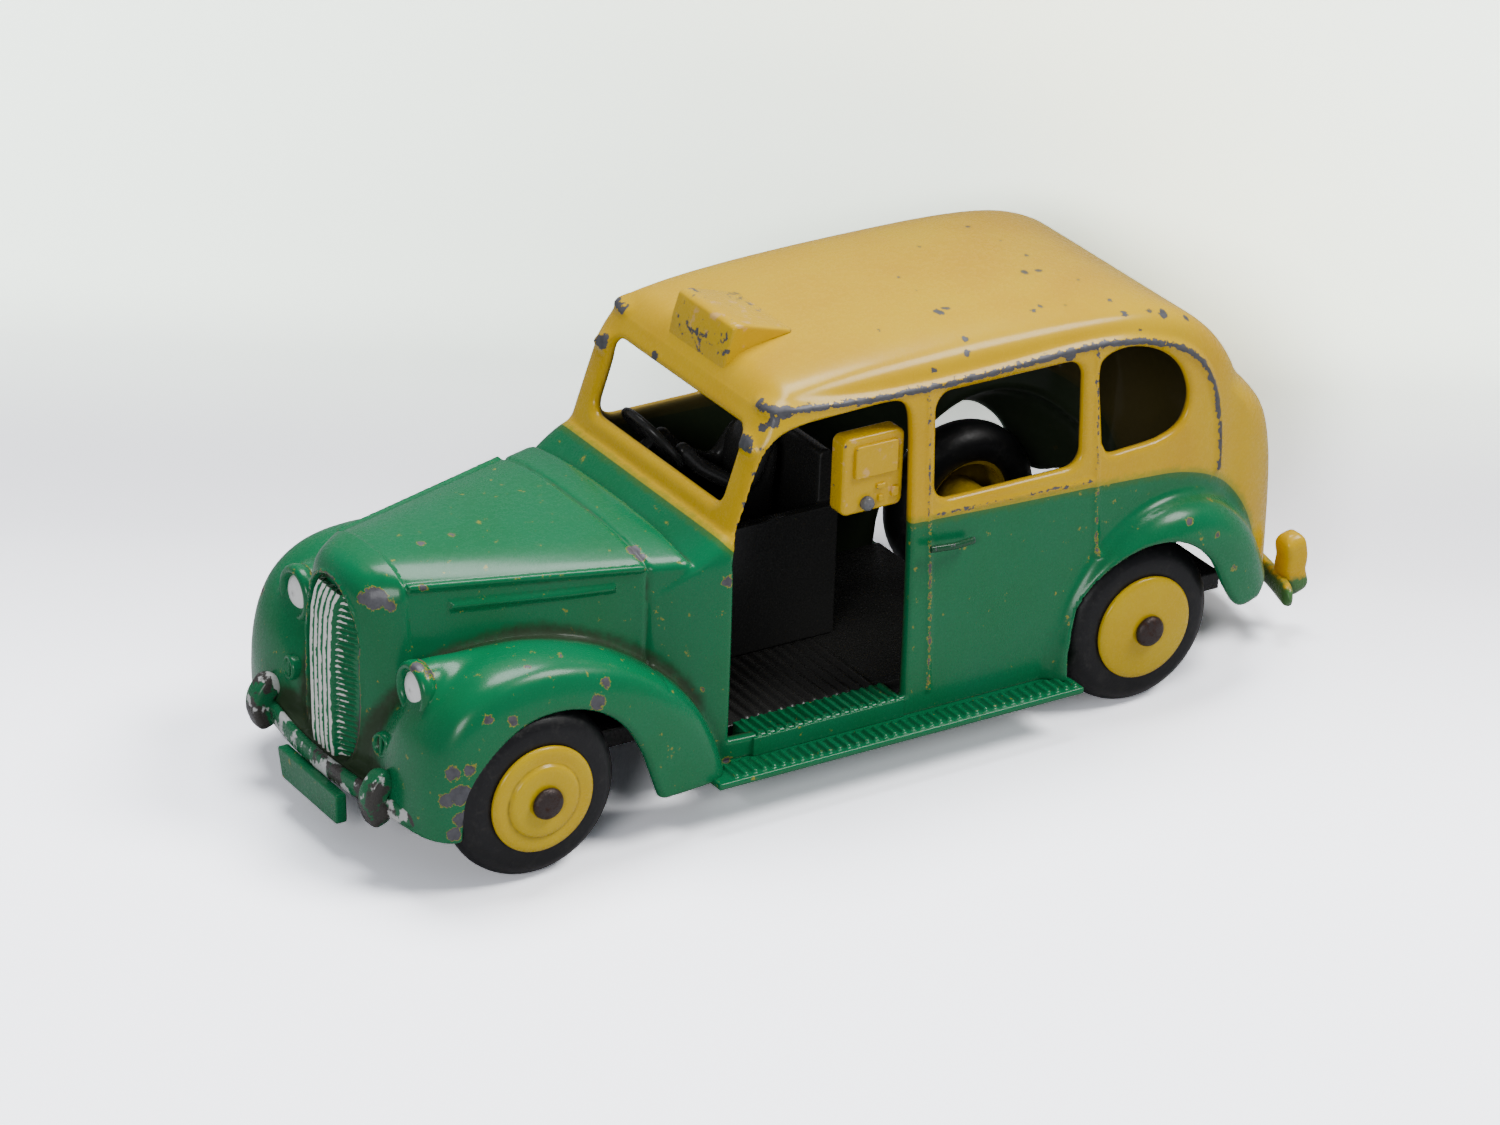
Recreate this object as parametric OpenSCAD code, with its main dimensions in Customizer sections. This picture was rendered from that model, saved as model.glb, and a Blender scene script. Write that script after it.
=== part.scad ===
// Toy taxi with an open luggage platform beside the driver, hollow cast body, free-rolling wheels.
// +X is the car's front, +Y its left side (the platform side), Z = 0 the ground.

/* [Overall] */
// Length over the bumpers
car_l = 94; // [80:0.5:113]
// Width of the body over the running boards and wings
car_w = 35.2; // [30:0.2:42.4]
// Height of the roof sign above the ground
car_h = 38.4; // [33:0.2:46]

/* [Wheels] */
// Tyre outside diameter
tyre_d = 15; // [12.5:0.1:17]
// Tyre width
tyre_w = 4.4; // [3.6:0.1:5]
// Hub diameter inside the tyre
hub_d = 9.3; // [7.8:0.1:11]
// Axle diameter
axle_d = 1.8; // [1.5:0.05:2.2]
// Diameter of the spun heads on the axle ends
head_d = 2.8; // [2.6:0.1:3.4]
// Gap in radius between axle and bores
run_gap = 0.06; // [0.03:0.01:0.1]
// Gap in radius between tyre and wheel space
arch_gap = 0.7; // [0.5:0.05:1]

/* [Casting] */
// Wall thickness of the body casting
shell_t = 1.1; // [0.9:0.05:1.3]
// Side play of each wheel between lug and axle head
side_play = 0.3; // [0.2:0.05:0.5]
// Length of the hub boss inside the tyre's inner face
hub_boss = 2.6; // [2:0.1:3]
// Height of moulded ribs and raised lines
rib_h = 0.3; // [0.25:0.05:0.4]
// Spacing of the platform floor ribs
rib_pitch = 1.1; // [0.9:0.05:1.4]

/* [Hidden] */
lx = car_l / 94;
ly = car_w / 35.2;
lz = car_h / 38.4;
front_x = 34.6 * lx;
rear_x = -25.4 * lx;
axle_z = tyre_d / 2;
front_face = 17.8 * ly;
rear_face = 15.9 * ly;
tyre_in = 0.8;
well_r = tyre_d / 2 + arch_gap;
floor_z = 6.2 * lz;
base_z = 4.2 * lz;
$fn = 48;

// Smooth curve through the points p, n steps between each pair
function bend(a, b, c, d, t) = 0.5 * (2 * b + (c - a) * t
    + (2 * a - 5 * b + 4 * c - d) * t * t + (3 * b - a - 3 * c + d) * t * t * t);
function curve(p, n = 2) = let(m = len(p) - 1) concat(
    [for (i = [0:m - 1]) for (j = [0:n - 1])
        bend(p[max(i - 1, 0)], p[i], p[i + 1], p[min(i + 2, m)], j / n)], [p[m]]);
function unit(v) = v / max(norm(v), 0.0001);
function left(v) = [-v[1], v[0]];
// Closed outline p (anticlockwise) moved inwards by t
function inset(p, t) = let(m = len(p)) [for (i = [0:m - 1])
    let(u = left(unit(p[i] - p[(i + m - 1) % m])), w = left(unit(p[(i + 1) % m] - p[i])),
        k = unit(u + w)) p[i] + k * t / max(0.6, k * u)];
// Outline p followed by itself reversed and mirrored; the last point is shared
function mirrored(p, a, b) = concat(p, [for (i = [len(p) - 2:-1:0]) [a * p[i][0], b * p[i][1]]]);
// Points i to j of p
function part(p, i, j) = [for (k = [i:j]) p[k]];
// Outline p moved in by t, its points from c to the one d before the end joined by a curve
function wall(p, t, c, d = 0) = let(q = inset(p, t), e = len(q) - 1 - d) concat(
    c > 0 ? part(q, 0, c - 1) : [], curve(part(q, c, e)), d > 0 ? part(q, e + 1, len(q) - 1) : []);
function sized(p, a, b) = [for (q = p) [q[0] * a, q[1] * b]];
function arc(x, z, r, a0, a1, n = 6) = [for (i = [0:n])
    let(a = a0 + (a1 - a0) * i / n) [x + r * cos(a), z + r * sin(a)]];
// Rounded rectangle, corner radius r
function pane(x0, z0, x1, z1, r) = concat(arc(x1 - r, z0 + r, r, -90, 0),
    arc(x1 - r, z1 - r, r, 0, 90), arc(x0 + r, z1 - r, r, 90, 180),
    arc(x0 + r, z0 + r, r, 180, 270));

// Roof and tail line of the cab, front to back
roof_line = [[15.1, 24.2], [12.1, 33], [11.5, 34.4], [10.3, 35.3], [8, 36], [4, 36.9],
    [-1, 37.6], [-7, 38.1], [-13, 38.15], [-19, 37.8], [-25, 36.6], [-30, 34.6],
    [-34, 32.2], [-37, 29.6], [-39, 27.4], [-41, 24.6], [-42.8, 21.2], [-44, 16.8],
    [-44.6, 12], [-44.8, 8], [-44.6, 4.6]];
cab_side = sized(concat([[21.8, 4.6], [21.8, 23.9]], roof_line), lx, lz);
// Cab cross-section, sill to crown, and the same mirrored down the other side
half_front = [[15.1, 4.6], [15.1, 12], [14.9, 20], [14.4, 26], [14, 31], [13.5, 33.4],
    [12.7, 35.3], [11.3, 36.7], [9, 37.6], [5, 38.1], [0, 38.2]];
cab_front = sized(mirrored(half_front, -1, 1), ly, lz);
// Cab plan, front to tail and back
half_plan = [[21.8, 11.8], [19.5, 13], [15.4, 14.6], [8, 15.05], [-5, 15.1], [-18, 15],
    [-27, 14.3], [-33, 12.9], [-38, 10.6], [-42, 7], [-44.3, 3], [-44.8, 0]];
cab_plan = sized(mirrored(half_plan, 1, -1), lx, ly);
// Everything above the paint line seen from the side
belt = [[15, 22.5], [15.4, 24], [30, 24.2], [30, 60], [-60, 60], [-60, 3], [-41.6, 3],
    [-41, 6], [-40.2, 9.6], [-38.3, 13.6], [-36.4, 16.8], [-33.1, 19.1], [-29.3, 20.5],
    [-25.2, 21], [-16, 21.5], [-2.5, 22.1]];

// Plate with outline p in the XZ plane, from y0 to y1
module side_plate(p, y0, y1) {
    translate([0, y1, 0]) rotate([90, 0, 0]) linear_extrude(y1 - y0) polygon(p);
}
// Plate with outline p in the YZ plane, from x0 to x1
module front_plate(p, x0, x1) {
    translate([x0, 0, 0]) rotate([90, 0, 90]) linear_extrude(x1 - x0) polygon(p);
}
module slab(x0, x1, y0, y1, z0, z1) {
    translate([x0, y0, z0]) cube([x1 - x0, y1 - y0, z1 - z0]);
}
module bar(x, z, r, y0, y1) {
    translate([x, y1, z]) rotate([90, 0, 0]) cylinder(r = r, h = y1 - y0);
}
// Outside shape of the cab, moved in by t
module cab_solid(t = 0) {
    intersection() {
        side_plate(wall(cab_side, t, 2), -30, 30);
        front_plate(wall(cab_front, t, 0), -70, 70);
        translate([0, 0, -5]) linear_extrude(60) polygon(wall(cab_plan, t, 1, 1));
    }
}
// Space outside the rounded front corners of the cab above the scuttle
screen_half = [[-14, 14.8], [-7, 14.3], [-3.4, 13.7], [-1.3, 13], [-0.3, 12], [0.4, 10.6], [0.4, 0]];
module outside_screen_corners() {
    difference() {
        slab(5 * lx, 21 * lx, -20 * ly, 20 * ly, 24.3 * lz, 40 * lz);
        translate([15.1 * lx, 0, 24.2 * lz]) rotate([0, -atan(3 * lx / (8.8 * lz)), 0])
            translate([0, 0, -20]) linear_extrude(50)
                polygon(sized(mirrored(screen_half, 1, -1), lx, ly));
    }
}
// Room for the wheels: tyres, their lift and side play
module wheel_space() {
    for (s = [-1, 1]) {
        bar(front_x, axle_z, well_r, s > 0 ? 11.3 * ly : -16.8 * ly, s > 0 ? 16.8 * ly : -11.3 * ly);
        bar(rear_x, axle_z, well_r, s > 0 ? 9.4 * ly : -15.2 * ly, s > 0 ? 15.2 * ly : -9.4 * ly);
    }
}
module windows() {
    front_plate(sized(pane(-10, 25.7, 10, 32.1, 1.1), ly, lz), 5 * lx, 22 * lx);
    door = sized(pane(-18.8, 23.5, -4.1, 33, 1.4), lx, lz);
    side_plate(door, -20, 20);
    quarter = sized(curve([[-21, 25], [-20.5, 31.4], [-21.3, 32.7], [-23.9, 32.9], [-27, 31.8],
        [-29.2, 29.9], [-30.2, 27.1], [-29.5, 24.9], [-27.2, 24], [-21.8, 23.9], [-21, 25]]),
        lx, lz);
    side_plate(quarter, -20, 20);
    side_plate(sized(pane(0.6, 23.5, 12.2, 33, 1.4), lx, lz), -20, 0);
    front_plate(sized(pane(-7, 27, 7, 31.5, 1.6), ly, lz), -60 * lx, -30 * lx);
}
// Doorless opening of the luggage platform
module platform_opening() {
    side_plate(sized(concat([[-1.8, 6.3], [15.1, 6.3], [15.3, 23.8], [14, 26.2]],
        curve([[13, 29], [12, 31.4], [10.4, 32.8], [8.4, 33.1]], 3),
        arc(-0.6, 31.9, 1.2, 90, 180, 4)), lx, lz), 12.1 * ly, 20 * ly);
}
module shell_cut() {
    cab_solid(shell_t);
    translate([0, 0, -1]) linear_extrude(7.5 * lz) polygon(wall(cab_plan, shell_t, 1, 1));
    windows();
    platform_opening();
    wheel_space();
    outside_screen_corners();
    slab(19 * lx, 23 * lx, -12 * ly, 12 * ly, 0, floor_z + 0.1);
}
module body_upper() {
    color("gold") intersection() {
        difference() {
            cab_solid();
            shell_cut();
        }
        side_plate(sized(belt, lx, lz), -30, 30);
    }
}
// Lower casting between x0 and x1, y0 and y1
module lower_body(x0, x1, y0, y1) {
    color("seagreen") difference() {
        intersection() {
            cab_solid();
            slab(x0, x1, y0, y1, 0, 30 * lz);
        }
        shell_cut();
        side_plate(sized(belt, lx, lz), -30, 30);
    }
}
module scuttle() {
    lower_body(14.2 * lx, 25 * lx, -20 * ly, 20 * ly);
}
module side_left() {
    lower_body(-60 * lx, -1.8 * lx, 0, 20 * ly);
}
module side_right() {
    lower_body(-60 * lx, 14.2 * lx, -20 * ly, 0);
}
// Bonnet and nose outlines
nose_side = sized([[21.85, 9], [42.2, 5.2], [43.5, 5.6], [44.2, 10], [44.4, 16], [44.1, 20.5],
    [42.8, 23.2], [40.4, 24.1], [33, 24.3], [21.85, 24.3]], lx, lz);
nose_half = [[11.6, 4], [11.6, 14], [11.4, 20], [10.4, 22.6], [8, 23.7], [0, 24.4]];
nose_front = sized(mirrored(nose_half, -1, 1), ly, lz);
nose_plan = sized([[21.85, -11.6], [30, -9.7], [38, -7.5], [42.2, -6.3], [43.6, -4.6], [44.4, -2],
    [44.4, 2], [43.6, 4.6], [42.2, 6.3], [38, 7.5], [30, 9.7], [21.85, 11.6]], lx, ly);
module nose_solid(t = 0) {
    intersection() {
        side_plate(wall(nose_side, t, 3), -20, 20);
        front_plate(wall(nose_front, t, 0), 0, 60);
        translate([0, 0, -5]) linear_extrude(50) polygon(inset(nose_plan, t));
    }
}
module bonnet() {
    color("seagreen") difference() {
        nose_solid();
        nose_solid(shell_t);
        slab(20 * lx, 41.5 * lx, -7.1 * ly, 7.1 * ly, 0, floor_z);
        slab(front_x - 2.7, front_x + 2.7, -14 * ly, 14 * ly, 0, axle_z + 2.5);
        slab(42.6 * lx, 50 * lx, -4.4 * ly, 4.4 * ly, 6 * lz, 21.4 * lz);
    }
}
// Wing outlines seen from the side and from the front
front_wing_side = sized(concat([[16.2, 4.2], [24, 4.2], [44.6, 5]], curve([[45.7, 9], [45.8, 13],
    [44.6, 17.2], [41.5, 19.7], [36.9, 20.4], [31.4, 19.5], [25.8, 17.2], [21, 13.4],
    [18, 9], [16.2, 4.2]], 3)), lx, lz);
front_arch = sized(concat([[45, 2], [44.6, 5]], arc(34.8, 5, 9.5, 0, 180, 14), [[23, 2]]), lx, lz);
module wing_front_section() {
    front_plate(sized(concat([[8, 3], [17.6, 3], [17.6, 10.5]], curve([[17.4, 13], [16.6, 16.8],
        [15, 19.4], [13, 20.4], [10.5, 19.8], [8, 17.5]], 3)), ly, lz), 0, 60);
}
module front_wing_shape() {
    difference() {
        intersection() {
            side_plate(front_wing_side, 6 * ly, 17.6 * ly);
            wing_front_section();
            translate([0, 0, -5]) linear_extrude(50) polygon(sized(concat([[16, 13], [30, 5],
                [44.6, 5]], curve([[45.8, 9], [45.8, 12.5], [44.8, 15.4], [42, 17.2], [38, 17.6],
                [28, 17.6], [16, 17.6]], 3)), lx, ly));
        }
        nose_solid();
        cab_solid();
        wheel_space();
        side_plate(front_arch, 15 * ly, 20 * ly);
        bar(front_x, axle_z, well_r, -2, 17 * ly);
        headlamp_block(9.3 * ly, 9);
        slab(16 * lx, 46 * lx, 6 * ly, 14 * ly, 0, 4.9 * lz);
        slab(10 * lx, 18.1 * lx, 10 * ly, 20 * ly, 0, 6 * lz);
    }
}
module front_wing_left() {
    color("seagreen") front_wing_shape();
}
module front_wing_right() {
    color("seagreen") mirror([0, 1, 0]) front_wing_shape();
}
rear_wing_side = sized(concat([[-36.2, 4.6], [-15.2, 4.6]], curve([[-16, 7.5], [-17.9, 11.9],
    [-21.1, 15.9], [-25, 18.2], [-29.1, 18.6], [-32.9, 17.4], [-36.6, 14.4], [-39.6, 10],
    [-41, 6.4], [-41.2, 4.6]], 3)), lx, lz);
module rear_wing_shape() {
    difference() {
        intersection() {
            side_plate(rear_wing_side, 8 * ly, 16.6 * ly);
            front_plate(sized(concat([[7, 3], [16.6, 3], [16.6, 12]], curve([[16.4, 14.2],
                [15.8, 16.6], [14.6, 18.2], [12.6, 18.7], [7, 18.7]], 3)), ly, lz), -60, 0);
            translate([0, 0, -5]) linear_extrude(50) polygon(sized(concat([[-16, 10], [-16, 16.6]],
                curve([[-30, 16.6], [-35, 16.1], [-38.4, 14.6], [-41, 11.6], [-41.6, 8]], 3),
                [[-30, 8]]), lx, ly));
        }
        cab_solid();
        wheel_space();
        bar(rear_x - 0.5, axle_z, well_r - 0.1, 10, 20 * ly);
        slab(-60, 0, 0, 30, 0, 4.9 * lz);
    }
}
module rear_wing_left() {
    color("seagreen") rear_wing_shape();
}
module rear_wing_right() {
    color("seagreen") mirror([0, 1, 0]) rear_wing_shape();
}
// Upright grille: centre bars and a framed panel of fine bars each side
module grille_block() {
    intersection() {
        slab(42.6 * lx, 50 * lx, -4.4 * ly, 4.4 * ly, 6 * lz, 21.4 * lz);
        nose_solid();
    }
}
module radiator_grille() {
    color("silver") {
        grille_block();
        for (i = [-2:2]) slab(43.6 * lx, 44.4 * lx + rib_h, (i * 0.62 - 0.2) * ly,
            (i * 0.62 + 0.2) * ly, 6.4 * lz, 21 * lz);
    }
}
// Headlamp shell faired into wing and nose
module headlamp_block(y, h = 5) {
    translate([38 * lx, y, 15.4 * lz]) rotate([0, 90, 0]) cylinder(r = 2.1, h = h * lx);
}
module headlamp(y) {
    difference() {
        headlamp_block(y);
        nose_solid();
        translate([42.6 * lx, y, 15.4 * lz]) rotate([0, 90, 0]) cylinder(r = 1.6, h = 4);
    }
    translate([42.5 * lx, y, 15.4 * lz]) rotate([0, 90, 0]) cylinder(r1 = 1.6, r2 = 1.1, h = 0.6);
}
module headlamp_left() {
    color("ivory") headlamp(9.3 * ly);
}
module headlamp_right() {
    color("ivory") headlamp(-9.3 * ly);
}
module horn(y) {
    difference() {
        translate([40.5 * lx, y, 10.6 * lz]) rotate([0, 90, 0]) cylinder(r = 1.05, h = 2.9 * lx);
        translate([42.9 * lx, y, 10.6 * lz]) rotate([0, 90, 0]) cylinder(r = 0.7, h = 2);
        nose_solid();
        for (k = [0, 1]) mirror([0, k, 0]) front_wing_core();
    }
}
module front_wing_core() {
    intersection() {
        side_plate(front_wing_side, 6 * ly, 17.6 * ly);
        wing_front_section();
    }
}
module horn_left() {
    color("seagreen") horn(7.7 * ly);
}
module horn_right() {
    color("seagreen") horn(-7.7 * ly);
}
// Blade bumper, curved back at the ends, with two overriders
module bumper_blade(r, x, z0, z1, w, t) {
    intersection() {
        difference() {
            translate([x - r, 0, z0]) cylinder(r = r, h = z1 - z0, $fn = 96);
            translate([x - r, 0, z0 - 1]) cylinder(r = r - t, h = z1 - z0 + 2, $fn = 96);
        }
        slab(x - 20, x + 1, -w, w, z0 - 1, z1 + 1);
    }
}
override_side = [[-1.3, -2.1], [0.3, -2.3], [1, -1.2], [1.05, 0.8], [0.5, 2.2], [-0.4, 2.4], [-1.3, 1.4]];
module front_bumper() {
    color("silver") {
        difference() {
            bumper_blade(46 * ly, 46 * lx, 5.4 * lz, 7.2 * lz, 14.4 * ly, 0.8 * lx);
            nose_solid();
            front_wing_core();
            mirror([0, 1, 0]) front_wing_core();
        }
        for (s = [-1, 1]) difference() {
            translate([45.9 * lx, 0, 6.9 * lz]) side_plate(sized(override_side, lx, lz),
                s * 9.3 * ly - 0.8, s * 9.3 * ly + 0.8);
            front_wing_core();
            mirror([0, 1, 0]) front_wing_core();
        }
        slab(41.5 * lx, 45.6 * lx, -3 * ly, 3 * ly, 4.2 * lz, 5.15 * lz);
        slab(44.7 * lx, 45.6 * lx, -3 * ly, 3 * ly, 5.1 * lz, 5.6 * lz);
    }
}
module rear_bumper() {
    color("seagreen") {
        difference() {
            translate([-91.6 * lx, 0, 0]) mirror([1, 0, 0]) translate([-46 * lx, 0, 0])
                bumper_blade(34 * ly, 0, 3.2 * lz, 5.4 * lz, 12.6 * ly, 1.6 * lx);
            cab_solid();
            slab(-60, 0, -30, 30, 0, 3 * lz);
        }
        for (s = [-1, 1]) difference() {
            translate([-45.9 * lx, 0, 6.3 * lz]) mirror([1, 0, 0]) side_plate(sized([[-2, -3.2],
                [0.3, -3.2], [1.1, -1.2], [1.1, 1.6], [0.3, 3.8], [-0.8, 4], [-2, 2.6]], lx, lz),
                s * 9.3 * ly - 0.9, s * 9.3 * ly + 0.9);
            cab_solid();
        }
    }
}
// Blank plate under the front bumper
module number_plate() {
    color("seagreen") difference() {
        front_plate(sized([[-5, 2.4], [5, 2.4], [4.4, 5.3], [-4.4, 5.3]], ly, lz),
            45.6 * lx, 46.6 * lx);
        front_plate(sized([[-4.4, 2.8], [4.4, 2.8], [4, 4.9], [-4, 4.9]], ly, lz),
            46.4 * lx, 47 * lx);
    }
}
module roof_sign() {
    color("gold") difference() {
        side_plate(sized([[10.7, 34], [10.4, 36.2], [9.9, 38.2], [9.6, 38.4], [9.2, 38.4],
            [4.2, 37.1], [4.2, 34]], lx, lz), -4.3 * ly, 4.3 * ly);
        cab_solid();
    }
}
// Meter box fixed beside the pillar behind the platform, face to the left
module taximeter() {
    color("gold") {
        slab(-1.7 * lx, 4.3 * lx, 10.8 * ly, 12.9 * ly, 23.4 * lz, 30.4 * lz);
        slab(-0.9 * lx, 2.9 * lx, 12.9 * ly, 12.9 * ly + rib_h, 26.6 * lz, 29.6 * lz);
        bar(1.8 * lx, 24.7 * lz, 0.62, 12.8 * ly, 12.9 * ly + 0.6);
    }
}
module ribbed_strip(x0, x1, y0, y1, z) {
    n = floor((x1 - x0) / 0.9);
    for (i = [0:n - 1]) slab(x0 + (i + 0.25) * (x1 - x0) / n, x0 + (i + 0.7) * (x1 - x0) / n,
        y0, y1, z - 0.05, z + rib_h);
}
module running_board(s) {
    z1 = 4.87 * lz - rib_h;
    difference() {
        mirror([0, s > 0 ? 0 : 1, 0]) {
            slab(-18 * lx, 18 * lx, 12.8 * ly, 17.4 * ly, base_z - 0.2 * lz, z1);
            ribbed_strip(-17.8 * lx, 16.6 * lx, 14.6 * ly, 17 * ly, z1);
        }
        cab_solid();
        wheel_space();
    }
}
module running_board_left() {
    color("seagreen") running_board(1);
}
module running_board_right() {
    color("seagreen") running_board(-1);
}
// Step of the platform: a block standing on the running board inside the opening
module platform_step_block(g = 0) {
    slab(-1.75 * lx - g, 13 * lx + g, 11.2 * ly - g, 14.5 * ly, 4.6 * lz, 6.2 * lz + g);
}
module platform_step() {
    color("seagreen") {
        platform_step_block();
        ribbed_strip(-1.6 * lx, 12.8 * lx, 11.5 * ly, 14.3 * ly, 6.2 * lz);
    }
}
module door_handles() {
    color("seagreen") difference() {
        union() {
            slab(-6.7 * lx, -4 * lx, 14.6 * ly, 15.5 * ly, 19.4 * lz, 20.1 * lz);
            slab(-6.7 * lx, -4 * lx, -15.5 * ly, -14.6 * ly, 19.4 * lz, 20.1 * lz);
            slab(0.6 * lx, 3.2 * lx, -15.5 * ly, -14.6 * ly, 19.4 * lz, 20.1 * lz);
        }
        cab_solid();
    }
}
// Block across the car that carries an axle, up to the hubs' inner ends
module lug(x, face) {
    w = face - tyre_w - hub_boss - side_play;
    slab(x - 2.6, x + 2.6, -w, w, base_z, axle_z + 2.4);
}
// Base plate with ribbed platform floor and the lugs that carry the axles
module chassis_floor() {
    color("dimgray") difference() {
        union() {
            slab(-16.5 * lx, 18.5 * lx, -11.9 * ly, 11.1 * ly, base_z, floor_z - rib_h);
            slab(-39.5 * lx, 41.4 * lx, -7 * ly, 7 * ly, base_z, floor_z - rib_h);
            lug(front_x, front_face);
            lug(rear_x, rear_face);
            n = floor(14 * lx / rib_pitch);
            for (i = [0:n - 1]) slab(-1 * lx + i * rib_pitch, -1 * lx + i * rib_pitch + 0.5,
                1.2 * ly, 10.8 * ly, floor_z - rib_h - 0.1, floor_z);
        }
        for (x = [front_x, rear_x]) bar(x, axle_z, axle_d / 2 + run_gap, -20 * ly, 20 * ly);
        slab(41.4 * lx, 60 * lx, -20, 20, 0, 30);
    }
}
module driver_seat() {
    color("black") difference() {
        union() {
            slab(-3.4 * lx, -1.9 * lx, -11.8 * ly, 0, floor_z - rib_h, 22 * lz);
            bar(-2.65 * lx, 22 * lz, 0.75 * lx, -11.8 * ly, 0);
            slab(-1.9 * lx, 5.4 * lx, -11.8 * ly, 0, floor_z - rib_h, 12.6 * lz);
            slab(-3.4 * lx, 15.8 * lx, 0, 1 * ly, floor_z - rib_h, 18 * lz);
            slab(15.8 * lx, 17 * lx, -11.8 * ly, 11 * ly, floor_z - rib_h, 21.5 * lz);
        }
    }
}
// Plain figure of the driver, seated
module driver() {
    color("black") {
        translate([1.2 * lx, -6.4 * ly, 12.6 * lz]) cylinder(r1 = 2.7, r2 = 2.2, h = 11 * lz);
        translate([1.2 * lx, -6.4 * ly, 26.2 * lz]) sphere(r = 2.1 * lz);
        translate([1.2 * lx, -6.4 * ly, 23 * lz]) cylinder(r = 1.1, h = 2 * lz);
    }
}
module steering_wheel() {
    color("black") {
        translate([10.4 * lx, -6.6 * ly, 24 * lz]) rotate([0, -52, 0]) {
            rotate_extrude() translate([3.2, 0]) circle(r = 0.5);
            translate([-3.2, -0.4, -0.35]) cube([6.4, 0.8, 0.7]);
            translate([0, 0, -6.5 * lx]) cylinder(r = 0.55, h = 6.5 * lx + 0.3);
        }
    }
}
module axle(x, face) {
    bar(x, axle_z, axle_d / 2, -face - side_play / 2, face + side_play / 2);
    for (s = [-1, 1]) translate([x, s * (face + side_play / 2), axle_z]) rotate([-90 * s, 0, 0]) {
        cylinder(r = head_d / 2, h = 0.3);
        translate([0, 0, 0.3]) cylinder(r1 = head_d / 2, r2 = head_d / 3.2, h = 0.35);
    }
}
module front_axle() {
    color("slategray") axle(front_x, front_face);
}
module rear_axle() {
    color("slategray") axle(rear_x, rear_face);
}
// Dished hub, outer face at the given distance from the middle of the car
module hub(x, face, s, raised) {
    inner = face - tyre_w - tyre_in;
    boss = face - tyre_w - hub_boss;
    translate([x, 0, axle_z]) rotate([-90 * s, 0, 0]) rotate_extrude() polygon([
        [axle_d / 2 + run_gap, boss], [2.1, boss], [2.1, face - 2.4],
        [hub_d / 2 - 0.9, face - 2.2], [hub_d / 2 - 0.6, inner + 0.9], [hub_d / 2 - 0.3, inner + 0.9],
        [hub_d / 2 - 0.3, face - tyre_in], [hub_d / 2, face - tyre_in], [hub_d / 2, face - 0.4],
        [raised ? 3.2 : 2.6, face - 0.3], [raised ? 3.1 : 2, face - 0.05], [1.6, face],
        [axle_d / 2 + run_gap, face]]);
}
module tyre(x, face, s) {
    out = face - tyre_in;
    b = tyre_w / 2;
    r0 = hub_d / 2 - 0.3;
    r1 = tyre_d / 2;
    translate([x, 0, axle_z]) rotate([-90 * s, 0, 0]) rotate_extrude($fn = 72) polygon(concat(
        [[r0, out - tyre_w + 0.5], [r0, out]],
        [for (i = [0:10]) let(a = 80 - 160 * i / 10) [r1 - 1.9 + 1.9 * cos(a), out - b + b * sin(a)]]));
}
module hub_front_left() {
    color("gold") hub(front_x, front_face, 1, true);
}
module hub_front_right() {
    color("gold") hub(front_x, front_face, -1, true);
}
module hub_rear_left() {
    color("gold") hub(rear_x, rear_face, 1, false);
}
module hub_rear_right() {
    color("gold") hub(rear_x, rear_face, -1, false);
}
module tyre_front_left() {
    color("black") tyre(front_x, front_face, 1);
}
module tyre_front_right() {
    color("black") tyre(front_x, front_face, -1);
}
module tyre_rear_left() {
    color("black") tyre(rear_x, rear_face, 1);
}
module tyre_rear_right() {
    color("black") tyre(rear_x, rear_face, -1);
}

body_upper();
scuttle();
side_left();
side_right();
bonnet();
front_wing_left();
front_wing_right();
rear_wing_left();
rear_wing_right();
radiator_grille();
headlamp_left();
headlamp_right();
horn_left();
horn_right();
front_bumper();
rear_bumper();
number_plate();
roof_sign();
taximeter();
running_board_left();
running_board_right();
platform_step();
door_handles();
chassis_floor();
driver_seat();
driver();
steering_wheel();
front_axle();
rear_axle();
hub_front_left();
hub_front_right();
hub_rear_left();
hub_rear_right();
tyre_front_left();
tyre_front_right();
tyre_rear_left();
tyre_rear_right();
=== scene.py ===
import bpy
import math
import numpy as np
import openvdb
from mathutils import Matrix


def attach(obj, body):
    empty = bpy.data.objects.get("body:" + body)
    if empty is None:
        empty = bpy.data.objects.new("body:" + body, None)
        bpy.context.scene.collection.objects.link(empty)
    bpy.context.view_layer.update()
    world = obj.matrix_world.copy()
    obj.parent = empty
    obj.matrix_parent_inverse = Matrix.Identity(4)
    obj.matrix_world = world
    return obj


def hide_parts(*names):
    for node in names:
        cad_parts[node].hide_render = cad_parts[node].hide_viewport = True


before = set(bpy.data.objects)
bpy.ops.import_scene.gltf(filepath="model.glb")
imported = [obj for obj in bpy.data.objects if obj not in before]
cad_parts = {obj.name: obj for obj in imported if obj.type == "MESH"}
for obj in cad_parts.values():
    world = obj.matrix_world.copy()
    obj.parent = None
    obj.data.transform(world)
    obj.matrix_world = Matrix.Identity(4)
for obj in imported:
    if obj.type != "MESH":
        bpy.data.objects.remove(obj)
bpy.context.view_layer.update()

# Lengths below are in millimetres with +X forward, +Y the car's left, +Z up; meshes are written in metres.
mm = 0.001
frontAxle = (34.6, 7.5)
rearAxle = (-25.4, 7.5)


# outlines and tables

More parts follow.
